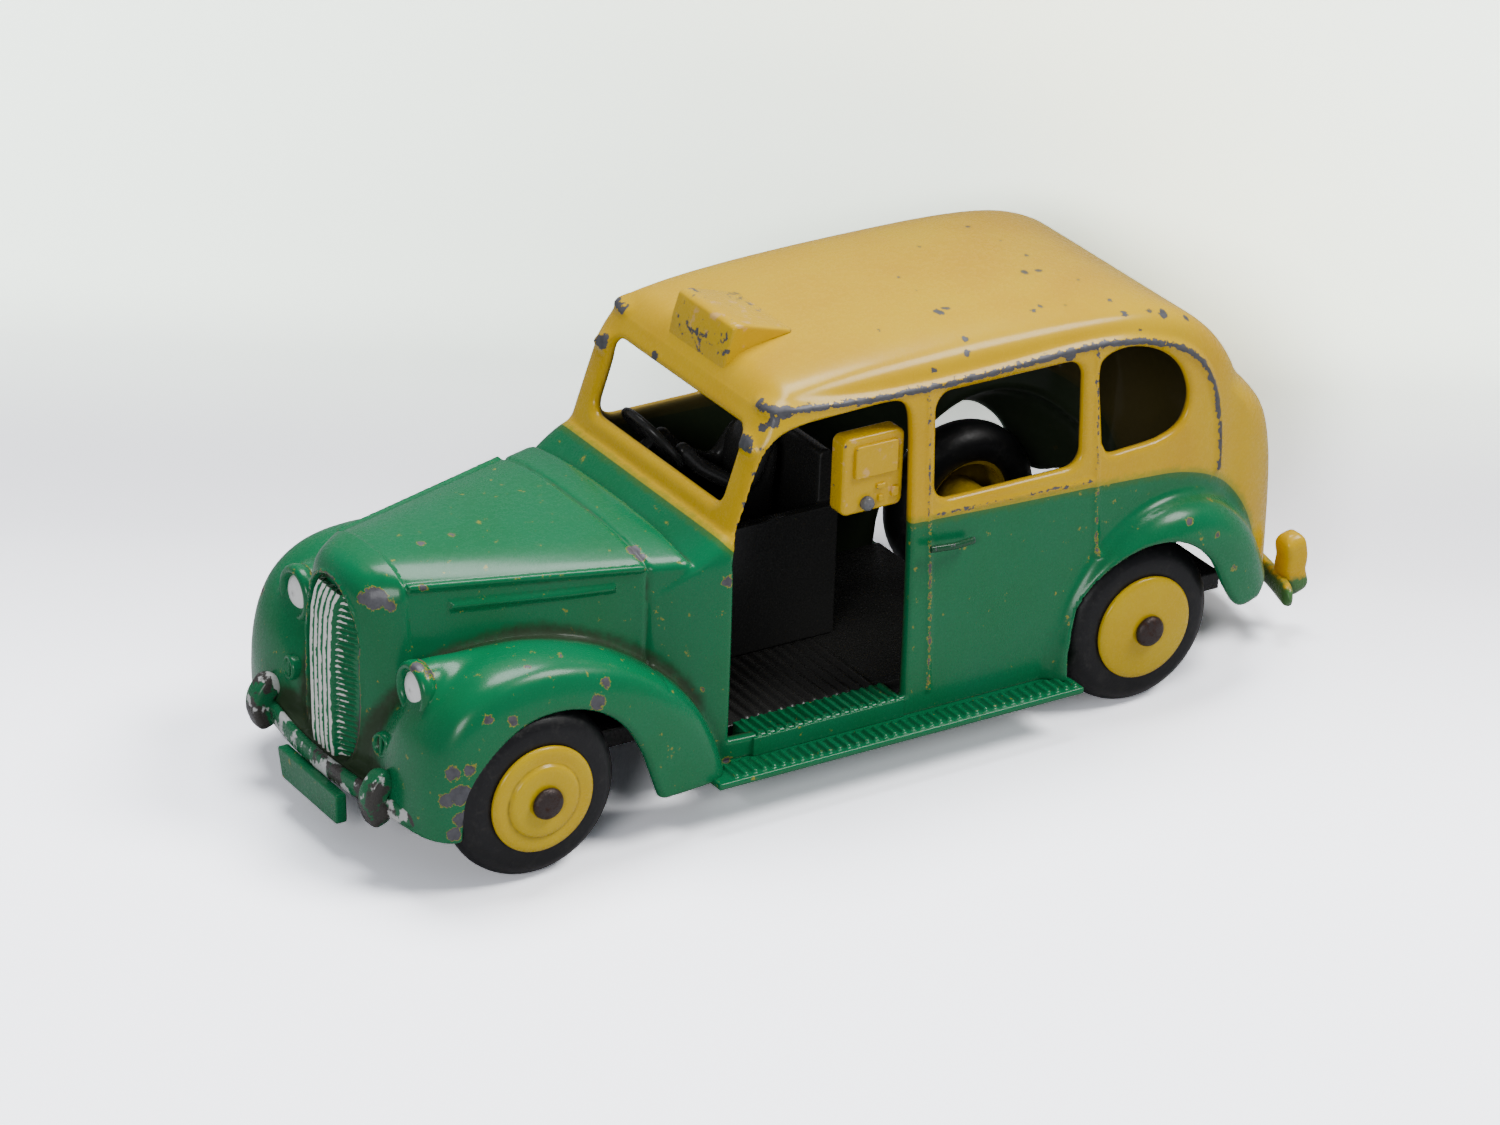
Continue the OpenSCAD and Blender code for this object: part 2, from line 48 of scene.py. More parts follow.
def smoothCurve(points, steps=12):
    # Catmull-Rom curve through the points, steps pieces per span
    p = np.asarray(points, float)
    p = np.vstack([2 * p[0] - p[1], p, 2 * p[-1] - p[-2]])
    t = np.linspace(0, 1, steps, endpoint=False)[:, None, None]
    a, b, c, d = p[:-3], p[1:-2], p[2:-1], p[3:]
    q = 0.5 * (2 * b + (c - a) * t + (2 * a - 5 * b + 4 * c - d) * t ** 2 + (3 * b - a - 3 * c + d) * t ** 3)
    return np.vstack([q.transpose(1, 0, 2).reshape(-1, p.shape[1]), p[-2]])


def outlineDistance(u, v, outline):
    # signed distance from (u, v) to a closed outline, negative inside
    poly = np.asarray(outline, float)
    best = np.full(u.shape, 1e9)
    inside = np.zeros(u.shape, bool)
    for (au, av), (bu, bv) in zip(poly, np.roll(poly, -1, axis=0)):
        eu, ev = bu - au, bv - av
        h = np.clip(((u - au) * eu + (v - av) * ev) / max(eu * eu + ev * ev, 1e-12), 0, 1)
        best = np.minimum(best, (u - au - h * eu) ** 2 + (v - av - h * ev) ** 2)
        if abs(ev) > 1e-12:
            inside ^= ((av > v) != (bv > v)) & (u < eu * (v - av) / ev + au)
    return np.where(inside, -1, 1) * np.sqrt(best)


class Outline:
    # table of signed distances to an outline, read back by bilinear interpolation
    def __init__(self, points, low, high, step=0.12):
        self.low, self.step = np.asarray(low, float), step
        n = np.ceil((np.asarray(high, float) - self.low) / step).astype(int) + 1
        u, v = np.meshgrid(self.low[0] + step * np.arange(n[0]), self.low[1] + step * np.arange(n[1]),
                           indexing="ij")
        self.table = outlineDistance(u, v, points)

    def __call__(self, u, v):
        u, v = np.broadcast_arrays(u, v)
        i = np.clip((u - self.low[0]) / self.step, 0, self.table.shape[0] - 1.001)
        j = np.clip((v - self.low[1]) / self.step, 0, self.table.shape[1] - 1.001)
        i0, j0 = i.astype(int), j.astype(int)
        a, b = i - i0, j - j0
        t = self.table
        return (t[i0, j0] * (1 - a) * (1 - b) + t[i0 + 1, j0] * a * (1 - b)
                + t[i0, j0 + 1] * (1 - a) * b + t[i0 + 1, j0 + 1] * a * b)


def smoothMax(a, b, k):
    # larger of two fields with the edge between them rounded over k
    h = np.maximum(k - np.abs(a - b), 0) / k
    return np.maximum(a, b) + h * h * k * 0.25


def smoothMin(a, b, k):
    return -smoothMax(-a, -b, k)


def ramp(v, a, b):
    # 0 below a, 1 above b, smooth between
    t = np.clip((v - a) / (b - a), 0, 1)
    return t * t * (3 - 2 * t)


# the casting as one field, negative in the metal
bodySizes = {"wall": 1.1, "shoulder": 2.8, "tail": 3.0, "fillet": 0.9, "rim": 0.7}

sideLine = np.vstack([[[24, -9], [24, 23.9], [21.8, 23.9], [16.4, 24.25]], smoothCurve([
    [15.1, 24.4], [12.35, 33.0], [11.6, 34.6], [10.2, 35.6], [8, 36.2], [4, 36.95], [-1, 37.6], [-7, 38.1],
    [-13, 38.15], [-19, 37.75], [-25, 36.5], [-29.5, 34.6], [-33.2, 32.0], [-36.4, 28.8], [-38.9, 25.4],
    [-40.8, 21.4], [-41.9, 16.5], [-42.3, 11], [-42.4, 5]]), [[-42.4, -9]]])
sectionHalf = smoothCurve([[15.1, 3], [15.12, 9], [15.0, 15], [14.75, 20], [14.4, 25], [14.05, 29.5],
                           [13.75, 32.6],
                           [13.3, 34.4], [12.2, 35.9], [10.2, 37.0], [7, 37.75], [3.5, 38.1], [0, 38.2]])
sectionLine = np.vstack([[[15.1, -9]], sectionHalf, [[-15, 38.2], [-15, -9]]])
planHalf = smoothCurve([[24, 11.0], [21.8, 11.7], [19.5, 12.8], [17.2, 13.9], [15.4, 14.55], [12, 14.95],
                        [6, 15.1],
                        [-5, 15.15], [-18, 15.05], [-26, 14.45], [-32, 13.2], [-36.6, 11.2], [-40, 8.2],
                        [-41.8, 4.6], [-42.4, 0]])
planLine = np.vstack([planHalf, [[-42.4, -15], [24, -15]]])
screenPlan = np.vstack([[[3.6, -15], [0.15, -15], [0.15, 8]], smoothCurve([
    [0.14, 9.8], [0.1, 11.4], [0.0, 12.3], [-0.3, 13.0], [-1.0, 13.55], [-2.2, 13.9], [-4.4, 14.15],
    [-8, 14.4],
    [-15, 14.8]]), [[-60, 15.6], [-60, -15]]])
bootLine = np.vstack([[[-36, -9], [-36, 25.6]], smoothCurve([
    [-37.4, 25.5], [-39.4, 24.6], [-41.5, 22.6], [-43.1, 19.8], [-44.4, 16.2], [-45.1, 12], [-45.4, 8],
    [-45.3, 4]]), [[-45.3, -9]]])
bootPlan = np.vstack([[[-30, -12], [-30, 12.2]], smoothCurve([
    [-34, 12.0], [-38, 11.4], [-41.4, 9.9], [-43.8, 7.4], [-45.1, 3.9], [-45.5, 0]]), [[-45.5, -12]]])
noseLine = np.vstack([[[18, -9], [44.6, -9], [44.7, 5]], smoothCurve([
    [44.8, 7], [45.05, 11], [45.15, 15.5], [45.05, 18.6], [44.75, 21.0], [44.1, 22.9], [43.0, 24.0],
    [41.4, 24.3],
    [36, 24.25], [30, 24.15], [21.8, 24.0], [18, 24.0]])])
nosePlan = np.vstack([[[18, -12], [18, 12.92]], [[21.85, 11.7], [40.6, 5.74]], smoothCurve([
    [41.3, 5.5], [42.3, 4.9], [43.3, 4.15], [44.2, 3.1], [44.85, 1.95], [45.15, 0.9], [45.2, 0]]),
    [[45.2, -12]]])
wingLine = np.vstack([[[14.5, -9], [15.7, 3.6]], smoothCurve([
    [15.9, 5], [17.0, 8.3], [19.0, 11.8], [21.9, 14.6], [26.2, 17.2], [30.5, 18.5], [34.5, 18.9],
    [38.5, 18.3],
    [41.6, 16.5], [43.9, 13.6], [45.1, 10.4], [45.3, 7.4], [44.9, 5]]), [[44.5, -9]]])
wingSection = smoothCurve([[4, -4.2], [7.5, -2.3], [9.6, -0.8], [11.3, -0.15], [13, 0], [14.5, -0.3],
                           [15.7, -0.95],
                           [16.5, -1.9], [17.1, -3.2], [17.45, -5], [17.6, -7.5], [17.65, -12]])
wingSection = np.vstack([[[4, -30]], wingSection, [[17.65, -30]]])
wingPlan = np.vstack([[[13, 0], [13, 17.0]], smoothCurve([
    [18, 17.3], [24, 17.6], [30, 17.75], [37, 17.7], [41.4, 17.0], [43.9, 15.2], [45.2, 12.2], [45.4, 9.4],
    [44.7, 6.8]]), [[43.6, 0]]])
archLine = np.vstack([[[22.4, -9], [22.7, 2], [23.3, 4.6]], smoothCurve([
    [23.9, 6.2], [25.0, 9.0], [26.7, 11.7], [29.2, 13.6], [32.3, 14.5], [35.6, 14.2], [38.3, 12.5],
    [40.2, 9.9],
    [41.1, 7.0], [41.3, 4.4]]), [[41.4, 2], [41.4, -9]]])
rearWingLine = np.vstack([[[-15.4, -9], [-15.7, 3.8]], smoothCurve([
    [-15.9, 5.4], [-16.5, 8.2], [-18.2, 12.0], [-21.2, 15.6], [-25.2, 17.9], [-29.6, 18.3], [-33.6, 17.0],
    [-37.2, 14.0], [-40.0, 10.2], [-41.8, 6.8], [-42.3, 4.6]]), [[-42.5, -9]]])
rearWingPlan = np.vstack([[[-14, 0], [-14, 16.3]], smoothCurve([
    [-17, 16.5], [-24, 16.7], [-30, 16.6], [-35, 15.9], [-38.8, 14.4], [-41.5, 11.8], [-42.5, 8.4]]),
    [[-42.5, 0]]])
rearArch = np.vstack([[[-17.3, -9], [-17.4, 4]], smoothCurve([
    [-17.5, 7.0], [-18.6, 10.9], [-21.2, 13.9], [-24.6, 15.5], [-28.2, 15.2], [-31.2, 13.0], [-33.2, 9.6],
    [-35.0, 7.4], [-37.6, 7.2]], 10), [[-39.8, 8.4], [-41.0, 6.4], [-41.2, 2], [-41.2, -9]]])
beltLine = np.vstack([[[16.5, 80], [16.3, 24.9], [15.9, 24.3], [15.4, 23.6]], smoothCurve([
    [14.9, 23.1], [14.0, 22.6], [10, 22.4], [-2.5, 22.1], [-10, 21.75], [-16, 21.5], [-20.5, 21.3],
    [-25.2, 20.95],
    [-29.3, 20.4], [-33.1, 19.0], [-36.2, 16.8], [-38.6, 13.6], [-40.2, 9.6], [-41.2, 5], [-41.6, 3]]),
    [[-41.8, -20], [-80, -20], [-80, 80]]])


def roundedBox(u0, v0, u1, v1, r):
    a = np.linspace(0, np.pi / 2, 9)
    corners = [(u1 - r, v0 + r, -np.pi / 2), (u1 - r, v1 - r, 0), (u0 + r, v1 - r, np.pi / 2),
               (u0 + r, v0 + r, np.pi)]
    return np.vstack([np.stack([cu + r * np.cos(a + s), cv + r * np.sin(a + s)], 1) for cu, cv, s in corners])


doorWindow = roundedBox(-18.8, 23.5, -4.2, 32.9, 1.5)
driverWindow = roundedBox(0.4, 23.5, 11.6, 32.5, 1.5)
quarterWindow = smoothCurve([[-21.0, 25], [-20.75, 28], [-20.5, 31.3], [-21.3, 32.6], [-23.9, 32.9],
                             [-27, 31.8],
                             [-29.2, 29.8], [-30.2, 27.1], [-29.4, 24.9], [-27.1, 24.0], [-24, 23.85],
                             [-21.8, 23.9],
                             [-21.0, 25]])
screenWindow = roundedBox(-10.1, 25.75, 10.1, 32.25, 1.2)
rearWindow = roundedBox(-6.8, 27.2, 6.8, 31.3, 1.6)
platformHole = np.vstack([[[-1.8, 6.35], [15.15, 6.35], [15.1, 22.2]], smoothCurve([
    [14.5, 24.0], [13.65, 26.4], [12.7, 29.2], [11.8, 31.2], [10.4, 32.4], [8.2, 32.9], [4, 33.1],
    [0.5, 33.2],
    [-0.9, 32.9], [-1.6, 31.9], [-1.8, 29.5]], 8)])

sideLow, sideHigh = (-50, -3), (50, 44)
planLow, planHigh = (-50, 0), (50, 22)


def band(points, half=0.01):
    # a hair-thin closed outline around an open line, so that its table holds the distance to the line
    p = smoothCurve(points, 8)
    return np.vstack([p, p[::-1] + [half, half]])


gutterLine = band([[13.1, 31.2], [12.4, 33.4], [11.3, 34.3], [8, 34.2], [3, 33.9], [-3.4, 33.75],
                   [-10.3, 33.8], [-18, 34.0], [-22.4, 33.8],
                   [-25.4, 33.2], [-28.2, 32.2], [-30.4, 30.8], [-32.1, 28.8], [-33.3, 26], [-34.0, 22.6],
                   [-34.2, 19.4]])
seamLines = [band([[-3.3, 33.5], [-3.4, 26], [-3.6, 20], [-3.9, 13], [-4.1, 6.5]]),
             band([[-20.1, 33.6], [-20.2, 28], [-20.4, 20], [-20.6, 15.2]]),
             band([[-3.4, 22.5], [-12, 22.25], [-20.3, 21.9]])]

tables = {name: Outline(points, low, high) for name, points, low, high in [
    ("side", sideLine, sideLow, sideHigh), ("section", sectionLine, (0, -3), (22, 44)),
    ("plan", planLine, (-50, 0), (26, 22)),
    ("screenPlan", screenPlan, (-60, 0), (12, 22)), ("boot", bootLine, sideLow, sideHigh),
    ("bootPlan", bootPlan, planLow, planHigh),
    ("nose", noseLine, sideLow, sideHigh), ("nosePlan", nosePlan, planLow, planHigh),
    ("wingSection", wingSection, (0, -32), (22, 14)),
    ("wing", wingLine, sideLow, sideHigh), ("wingPlan", wingPlan, planLow, planHigh),
    ("arch", archLine, sideLow, sideHigh),
    ("rearWing", rearWingLine, sideLow, sideHigh), ("rearWingPlan", rearWingPlan, planLow, planHigh),
    ("rearArch", rearArch, sideLow, sideHigh), ("belt", beltLine, sideLow, sideHigh),
    ("doorWindow", doorWindow, sideLow, sideHigh),
    ("driverWindow", driverWindow, sideLow, sideHigh), ("quarter", quarterWindow, sideLow, sideHigh),
    ("screen", screenWindow, (-22, 18), (22, 40)), ("rearWindow", rearWindow, (-22, 18), (22, 40)),
    ("platform", platformHole, sideLow, sideHigh)]}
tables["gutter"] = Outline(gutterLine, sideLow, sideHigh)
tables["seam"] = Outline(seamLines[0], sideLow, sideHigh)
for line in seamLines[1:]:
    tables["seam"].table = np.minimum(tables["seam"].table, Outline(line, sideLow, sideHigh).table)
crestX = smoothCurve([[15.9, 5], [17.0, 8.3], [19.0, 11.8], [21.9, 14.6], [26.2, 17.2], [30.5, 18.5],
                      [34.5, 18.9], [38.5, 18.3],
                      [41.6, 16.5], [43.9, 13.6], [45.1, 10.4]])
print("outline tables ready")


def cabField(x, y, z):
    # side outline, cross-section and plan brought together with rounded shoulders
    w = np.abs(y)
    f = smoothMax(tables["side"](x, z), tables["section"](w, z), bodySizes["shoulder"])
    f = smoothMax(f, tables["plan"](x, w), bodySizes["tail"])
    tilt = tables["screenPlan"](x - 15.1 + 0.33 * (z - 24.4), w) - np.maximum(24.5 - z, 0) * 1.1
    f = smoothMax(f, tilt, 0.8 + 2.4 * ramp(z, 31, 35))
    boot = smoothMax(tables["boot"](x, z), tables["bootPlan"](x, w), 3.0)
    return smoothMin(f, boot, 1.4)


def noseField(x, y, z):
    # crowned top, straight tapering sides that flare a little downwards, rounded shell at the front
    w = np.abs(y)
    flare = 0.17 * ramp(x, 22, 30) * np.clip(22.8 - z, 0, 8)
    crest = np.clip(11.7 - 0.318 * (x - 21.85), 1, 14)
    f = smoothMax(tables["nose"](x, z), tables["nosePlan"](x, w - flare), 1.5)
    top = z - 22.75 - 1.4 * (1 - np.minimum(w / crest, 1.3) ** 2) - 0.1 * ramp(x, 40, 42)
    f = smoothMax(f, top, 0.8 + 1.6 * ramp(x, 40, 43))
    f = f - 0.16 * ramp(x, 40.75, 41.05) * ramp(z, 14, 16)
    # the radiator opening: a shallow recess with a raised lip, inside an upright oval
    oval = 1 - np.abs((z - 13.6) / 8.5) ** 3.2 - (w / 4.45) ** 2
    f = f + (0.6 * ramp(oval, 0.0, 0.1) - 0.14 * np.exp(-(oval + 0.06) ** 2 / 0.004)) * ramp(x, 42.2, 42.8)
    bead = np.sqrt((w - crest) ** 2 + (z - 22.6) ** 2) - 0.28
    f = smoothMin(f, np.maximum(bead, np.maximum(22.1 - x, x - 40.6)), 0.3)
    strip = np.sqrt((w - crest - flare) ** 2 + (z - 21.15 + 0.02 * (x - 24)) ** 2) - 0.26
    return smoothMin(f, np.maximum(strip, np.maximum(24.6 - x, x - 37.5)), 0.3)


def wingField(x, y, z):
    # one cross-section hung from the crest line, closed by the side and plan outlines
    w = np.abs(y)
    crest = np.interp(x, crestX[:, 0], crestX[:, 1])
    slope = np.interp(x, crestX[1:, 0], np.clip(np.diff(crestX[:, 1]) / np.diff(crestX[:, 0]), -2.5, 2.5))
    f = tables["wingSection"](w, z - crest) / np.sqrt(1 + 0.5 * slope ** 2)
    f = smoothMax(f, tables["wing"](x, z), 1.6)
    return smoothMax(f, tables["wingPlan"](x, w), 3.0)


def rearWingField(x, y, z):
    w = np.abs(y)
    return smoothMax(tables["rearWing"](x, z), tables["rearWingPlan"](x, w), 3.6)


def lampField(x, y, z):
    # headlamp shell: a short fat bullet lying on the wing's inner side
    w = np.abs(y)
    r = np.sqrt((w - 9.75) ** 2 + (z - 15.9) ** 2)
    shell = 2.15 - 0.05 * np.maximum(40.4 - x, 0) ** 1.5
    return np.maximum(r - shell, np.maximum(x - 42.2, 32 - x)) * 0.9


def solidField(x, y, z):
    f = smoothMin(cabField(x, y, z), noseField(x, y, z), 0.4)
    f = smoothMin(f, wingField(x, y, z), bodySizes["fillet"])
    f = smoothMin(f, rearWingField(x, y, z), 0.9)
    f = smoothMin(f, lampField(x, y, z), 0.9)
    w = np.abs(y)
    apron = smoothMax(np.abs(z - 6.0) - 0.8,
                      np.maximum(x - 45.35 + w ** 2 / 95, np.maximum(38 - x, w - 13.4)), 0.4)
    f = smoothMin(f, apron, 0.8)
    # raised gutter, door edges and moulding; a fine groove where the bonnet ends
    onSide = ramp(w, 9, 11)
    f = f - 0.34 * np.exp(-(tables["gutter"](x, z) / 0.42) ** 2) * onSide
    f = f - 0.13 * np.exp(-(tables["seam"](x, z) / 0.26) ** 2) * onSide * ramp(x, 16, 15)
    f = f + 0.16 * np.exp(-((x - 21.9) / 0.24) ** 2) * ramp(z, 13, 14)
    return f


def bodyField(x, y, z):
    f = solidField(x, y, z)
    w = np.abs(y)
    inner = f + bodySizes["wall"]
    f = smoothMax(f, -inner, 0.25)
    rim = bodySizes["rim"]
    for hole in (tables["doorWindow"](x, z), tables["quarter"](x, z)):
        f = smoothMax(f, -np.maximum(hole, 8 - w), rim)
    f = smoothMax(f, -np.maximum(tables["driverWindow"](x, z), 8 + y), rim)
    f = smoothMax(f, -np.maximum(tables["platform"](x, z), 11.2 - y), rim * 0.6)
    f = smoothMax(f, -np.maximum(tables["screen"](y, z), 8 - x), rim)
    f = smoothMax(f, -np.maximum(tables["rearWindow"](y, z), x + 30), rim)
    f = smoothMax(f, -np.maximum(tables["arch"](x, z), 10.5 - w), 0.6)
    f = smoothMax(f, -np.maximum(tables["rearArch"](x, z), 9.3 - w), 0.6)
    sill = np.where(x > 15.5, np.interp(x, [15.5, 24, 44], [4.3, 4.2, 4.9]), 4.4)
    return smoothMax(f, sill - z, 0.4)


# from field to mesh

def fieldNormals(field, p, h=0.12):
    g = np.stack([field(p[:, 0] + h * a, p[:, 1] + h * b, p[:, 2] + h * c)
                  - field(p[:, 0] - h * a, p[:, 1] - h * b, p[:, 2] - h * c)
                  for a, b, c in ((1, 0, 0), (0, 1, 0), (0, 0, 1))], 1)
    length = np.linalg.norm(g, axis=1, keepdims=True)
    return g / np.maximum(length, 1e-9), length[:, 0] / (2 * h)


def fieldMesh(field, low, high, step):
    # the zero surface of a field: sampled on a box grid, then each point stepped onto the surface itself
    low, high = np.asarray(low, float), np.asarray(high, float)
    n = np.ceil((high - low) / step).astype(int) + 1
    x = (low[0] + step * np.arange(n[0]))[:, None, None]
    y = (low[1] + step * np.arange(n[1]))[None, :, None]
    z = (low[2] + step * np.arange(n[2]))[None, None, :]
    values = np.empty(n, np.float32)
    for i in range(0, n[0], 24):
        xi, yi, zi = np.broadcast_arrays(x[i:i + 24], y, z)
        values[i:i + 24] = field(xi, yi, zi)
    grid = openvdb.FloatGrid(3 * step)
    grid.copyFromArray(np.clip(values, -3 * step, 3 * step).astype(np.float32))
    points, tris, quads = grid.convertToPolygons(0.0, 0.0)
    p = points.astype(float) * step + low
    for _ in range(3):
        normal, slope = fieldNormals(field, p, 0.05)
        move = field(p[:, 0], p[:, 1], p[:, 2]) / np.maximum(slope, 0.3)
        p = p - normal * np.clip(move, -0.3 * step, 0.3 * step)[:, None]
    return p, [tuple(int(i) for i in q) for q in quads] + [tuple(int(i) for i in t) for t in tris]


def addMesh(name, points, faces, material=None):
    # points in millimetres; a face repeats no vertex
    mesh = bpy.data.meshes.new(name)
    mesh.from_pydata((np.asarray(points) * mm).tolist(), [], faces)
    mesh.polygons.foreach_set("use_smooth", np.ones(len(mesh.polygons), bool))
    if material:
        mesh.materials.append(material)
    obj = bpy.data.objects.new(name, mesh)
    bpy.context.collection.objects.link(obj)
    return obj


def points3(obj):
    co = np.empty(len(obj.data.vertices) * 3, np.float32)
    obj.data.vertices.foreach_get("co", co)
    return co.reshape(-1, 3).astype(float) / mm


def applied(obj):
    # the object with its modifiers made real
    mesh = bpy.data.meshes.new_from_object(obj.evaluated_get(bpy.context.evaluated_depsgraph_get()))
    obj.modifiers.clear()
    old, obj.data = obj.data, mesh
    bpy.data.meshes.remove(old)
    return obj


def keepInside(obj, cutter, operation="INTERSECT"):
    cut = obj.modifiers.new("cut", "BOOLEAN")
    cut.operation, cut.object, cut.solver = operation, cutter, "MANIFOLD"
    return applied(obj)


def prism(name, outline, low, high, axis=1):
    # outline carried straight along one axis, closed by its two end faces
    o = np.asarray(outline, float)
    n = len(o)
    p = np.insert(np.vstack([o, o]), axis, np.repeat([low, high], n), axis=1)
    i = np.arange(n)
    j = (i + 1) % n
    sides = np.stack([i, j, j + n, i + n], 1).tolist()
    obj = addMesh(name, p, sides + [list(range(n))[::-1], list(range(n, 2 * n))])
    flip = np.sum(o[:, 0] * np.roll(o[:, 1], -1) - np.roll(o[:, 0], -1) * o[:,
            1]) * (-1 if axis == 1 else 1) < 0
    if flip:
        obj.data.flip_normals()
    return obj


def copyOf(obj, name):
    made = bpy.data.objects.new(name, obj.data.copy())
    bpy.context.collection.objects.link(made)
    return made


def drop(*objs):
    for o in objs:
        bpy.data.objects.remove(o)


def finishCasting(obj, field, wearAt, dirtAndShadeAt):
    # normals from the field's slope, and wear, and dirt with painted shade, worked out at every vertex
    p = points3(obj)
    normal, _ = fieldNormals(field, p, 0.06)
    mesh = obj.data
    faceNormal = np.empty(len(mesh.polygons) * 3, np.float32)
    mesh.polygons.foreach_get("normal", faceNormal)
    faceNormal = faceNormal.reshape(-1, 3)
    total = np.empty(len(mesh.polygons), np.int32)
    mesh.polygons.foreach_get("loop_total", total)
    corner = np.empty(len(mesh.loops), np.int32)
    mesh.loops.foreach_get("vertex_index", corner)
    loopFace = np.repeat(faceNormal, total, axis=0)
    loopNormal = normal[corner]
    flat = np.sum(loopNormal * loopFace, 1) < 0.5
    loopNormal[flat] = loopFace[flat]
    mesh.polygons.foreach_set("use_smooth", np.ones(len(mesh.polygons), bool))
    mesh.normals_split_custom_set(loopNormal.astype(np.float32).tolist())
    # inside marks the casting's inner walls, which the paint darkens almost to black as painted shade
    for name, values in (("wear", wearAt(p, normal)), ("dirt", dirtAndShadeAt(p, normal)),
                         ("belt", tables["belt"](p[:, 0], p[:, 2])), ("spots", spotsAt(p)),
                         ("inside", ramp(-solidField(p[:, 0], p[:, 1], p[:, 2]), 0.45, 0.95))):
        made = mesh.attributes.new(name, "FLOAT", "POINT")
        made.data.foreach_set("value", values.astype(np.float32))
    return obj


def curvature(field, p, normal, h):
    # positive on convex edges, negative in creases: field value a step h along the tangent plane
    a = np.cross(normal, [0.31, 0.22, 0.93])
    a /= np.maximum(np.linalg.norm(a, axis=1, keepdims=True), 1e-6)
    b = np.cross(normal, a)
    total = np.zeros(len(p))
    for s in (1, -1):
        for t in (a, b, (a + b) * 0.7071, (a - b) * 0.7071):
            q = p + s * h * t
            total += field(q[:, 0], q[:, 1], q[:, 2])
    return total / (8 * h)


# materials

def newMaterial(name, base, rough=0.4, metallic=0.0, coat=0.0):
    mat = bpy.data.materials.new(name)
    mat.use_nodes = True
    shader = mat.node_tree.nodes["Principled BSDF"]
    shader.inputs["Base Color"].default_value = (*base, 1)
    shader.inputs["Roughness"].default_value = rough
    shader.inputs["Metallic"].default_value = metallic
    shader.inputs["Coat Weight"].default_value = coat
    return mat


# finishes
chipSpots = np.array([
    [-8.0, 7.5, 37.2, 0.46], [-8.8, 7.2, 37.2, 0.34], [-8.0, 11.5, 36.3, 0.34], [-7.6, 12.4, 35.6, 0.26],
    [-18.9, 4.1, 37.2, 0.44],
    [-20.3, 4.1, 37.1, 0.3], [-21.3, 0.9, 37.0, 0.28], [-20.4, -6.6, 37.0, 0.24], [-13.8, -4.1, 37.4, 0.22],
    [-15.7, 10.1, 36.8, 0.3], [-16.6, 9.7, 36.8, 0.24], [-27.5, 12.1, 34.8, 0.5], [-26.2, 12.0, 35.3, 0.3],
    [-30.2, 11.9, 33.8, 0.34], [-23.5, 12.1, 35.6, 0.34], [-8.6, 0.6, 37.5, 0.22], [-18.8, 10.2, 36.6, 0.18],
    [-4.1, 12.8, 34.9, 0.26], [-2.0, 7.8, 37.0, 0.18], [-8.4, 3.4, 37.4, 0.17], [-12.8, 3.4, 37.5, 0.17],
    [-22.7, 6.7, 36.7, 0.17], [-23.2, 10.4, 36.2, 0.17], [-4.8, -1.0, 37.4, 0.17], [-21.1, -2.7, 37.1, 0.17],
    [-24.6, 13.0, 34.3, 0.17], [11.1, 12.5, 33.5, 0.6], [10.1, 12.7, 34.2, 0.62], [11.7, 12.0, 33.0, 0.4],
    [12.5, 12.9, 31.5, 0.34], [12.8, 12.9, 29.4, 0.3], [13.6, 12.9, 26.9, 0.3], [14.2, 13.0, 25.1, 0.3],
    [-17.3, 13.5, 33.6, 0.5], [-7.3, 13.6, 33.8, 0.5], [-13.5, 13.6, 33.9, 0.4], [-20.5, 13.6, 33.9, 0.36],
    [-20.1, 13.7, 30.8, 0.26], [39.3, 16.3, 15.4, 0.44], [37.2, 16.7, 14.9, 0.44], [29.4, 16.9, 14.7, 0.72],
    [28.5, 16.3, 16.0, 0.44], [34.8, 14.8, 18.2, 0.28], [42.3, 16.1, 11.2, 0.6], [41.7, 16.5, 9.3, 0.95],
    [41.0, 16.8, 11.5, 0.6], [42.7, 15.9, 8.9, 0.6], [41.6, 16.6, 7.1, 0.75], [42.1, 16.2, 5.8, 0.6],
    [40.5, 17.0, 13.1, 0.4], [43.0, 4.6, 21.8, 0.95], [43.9, 3.8, 21.6, 0.4], [42.1, 5.5, 21.3, 0.5],
    [15.7, 13.8, 20.9, 0.46], [21.9, 9.4, 23.2, 0.6], [21.8, 10.3, 23.0, 0.4], [39.6, 6.3, 22.7, 0.3],
    [37.1, 1.5, 24.0, 0.3], [34.2, 1.4, 24.0, 0.24], [24.9, 17.2, 11.3, 0.28], [-28.8, 16.3, 17.1, 0.38],
    [-33.8, 16.2, 11.4, 0.28], [42.7, -14.8, 13.9, 0.36], [42.2, 10.2, 18.0, 0.55], [41.6, 11.0, 17.7, 0.4],
    [44.6, -10.5, 7.1, 0.36], [-32.2, 14.3, 17.5, 0.22], [-31.7, 16.4, 15.2, 0.25], [17.7, 13.6, 11.4, 0.2],
    [15.3, 14.1, 4.6, 0.34], [31.4, 14.0, 18.2, 0.18], [7.1, 0.5, 36.3, 0.5], [12.1, -4.2, 32.8, 0.5],
    [-20, -12.4, 35.2, 0.4], [-3, -12.9, 34.6, 0.35], [-31, -11, 34, 0.4], [30, -16.8, 15, 0.6],
    [41.5, -16.4, 9, 0.8],
    [-43.6, -3, 19.5, 0.5], [-44.8, 4, 14, 0.4], [-39.5, 9, 22, 0.3], [-15, -14.9, 14, 0.35],
    [5, -15, 12, 0.3]])


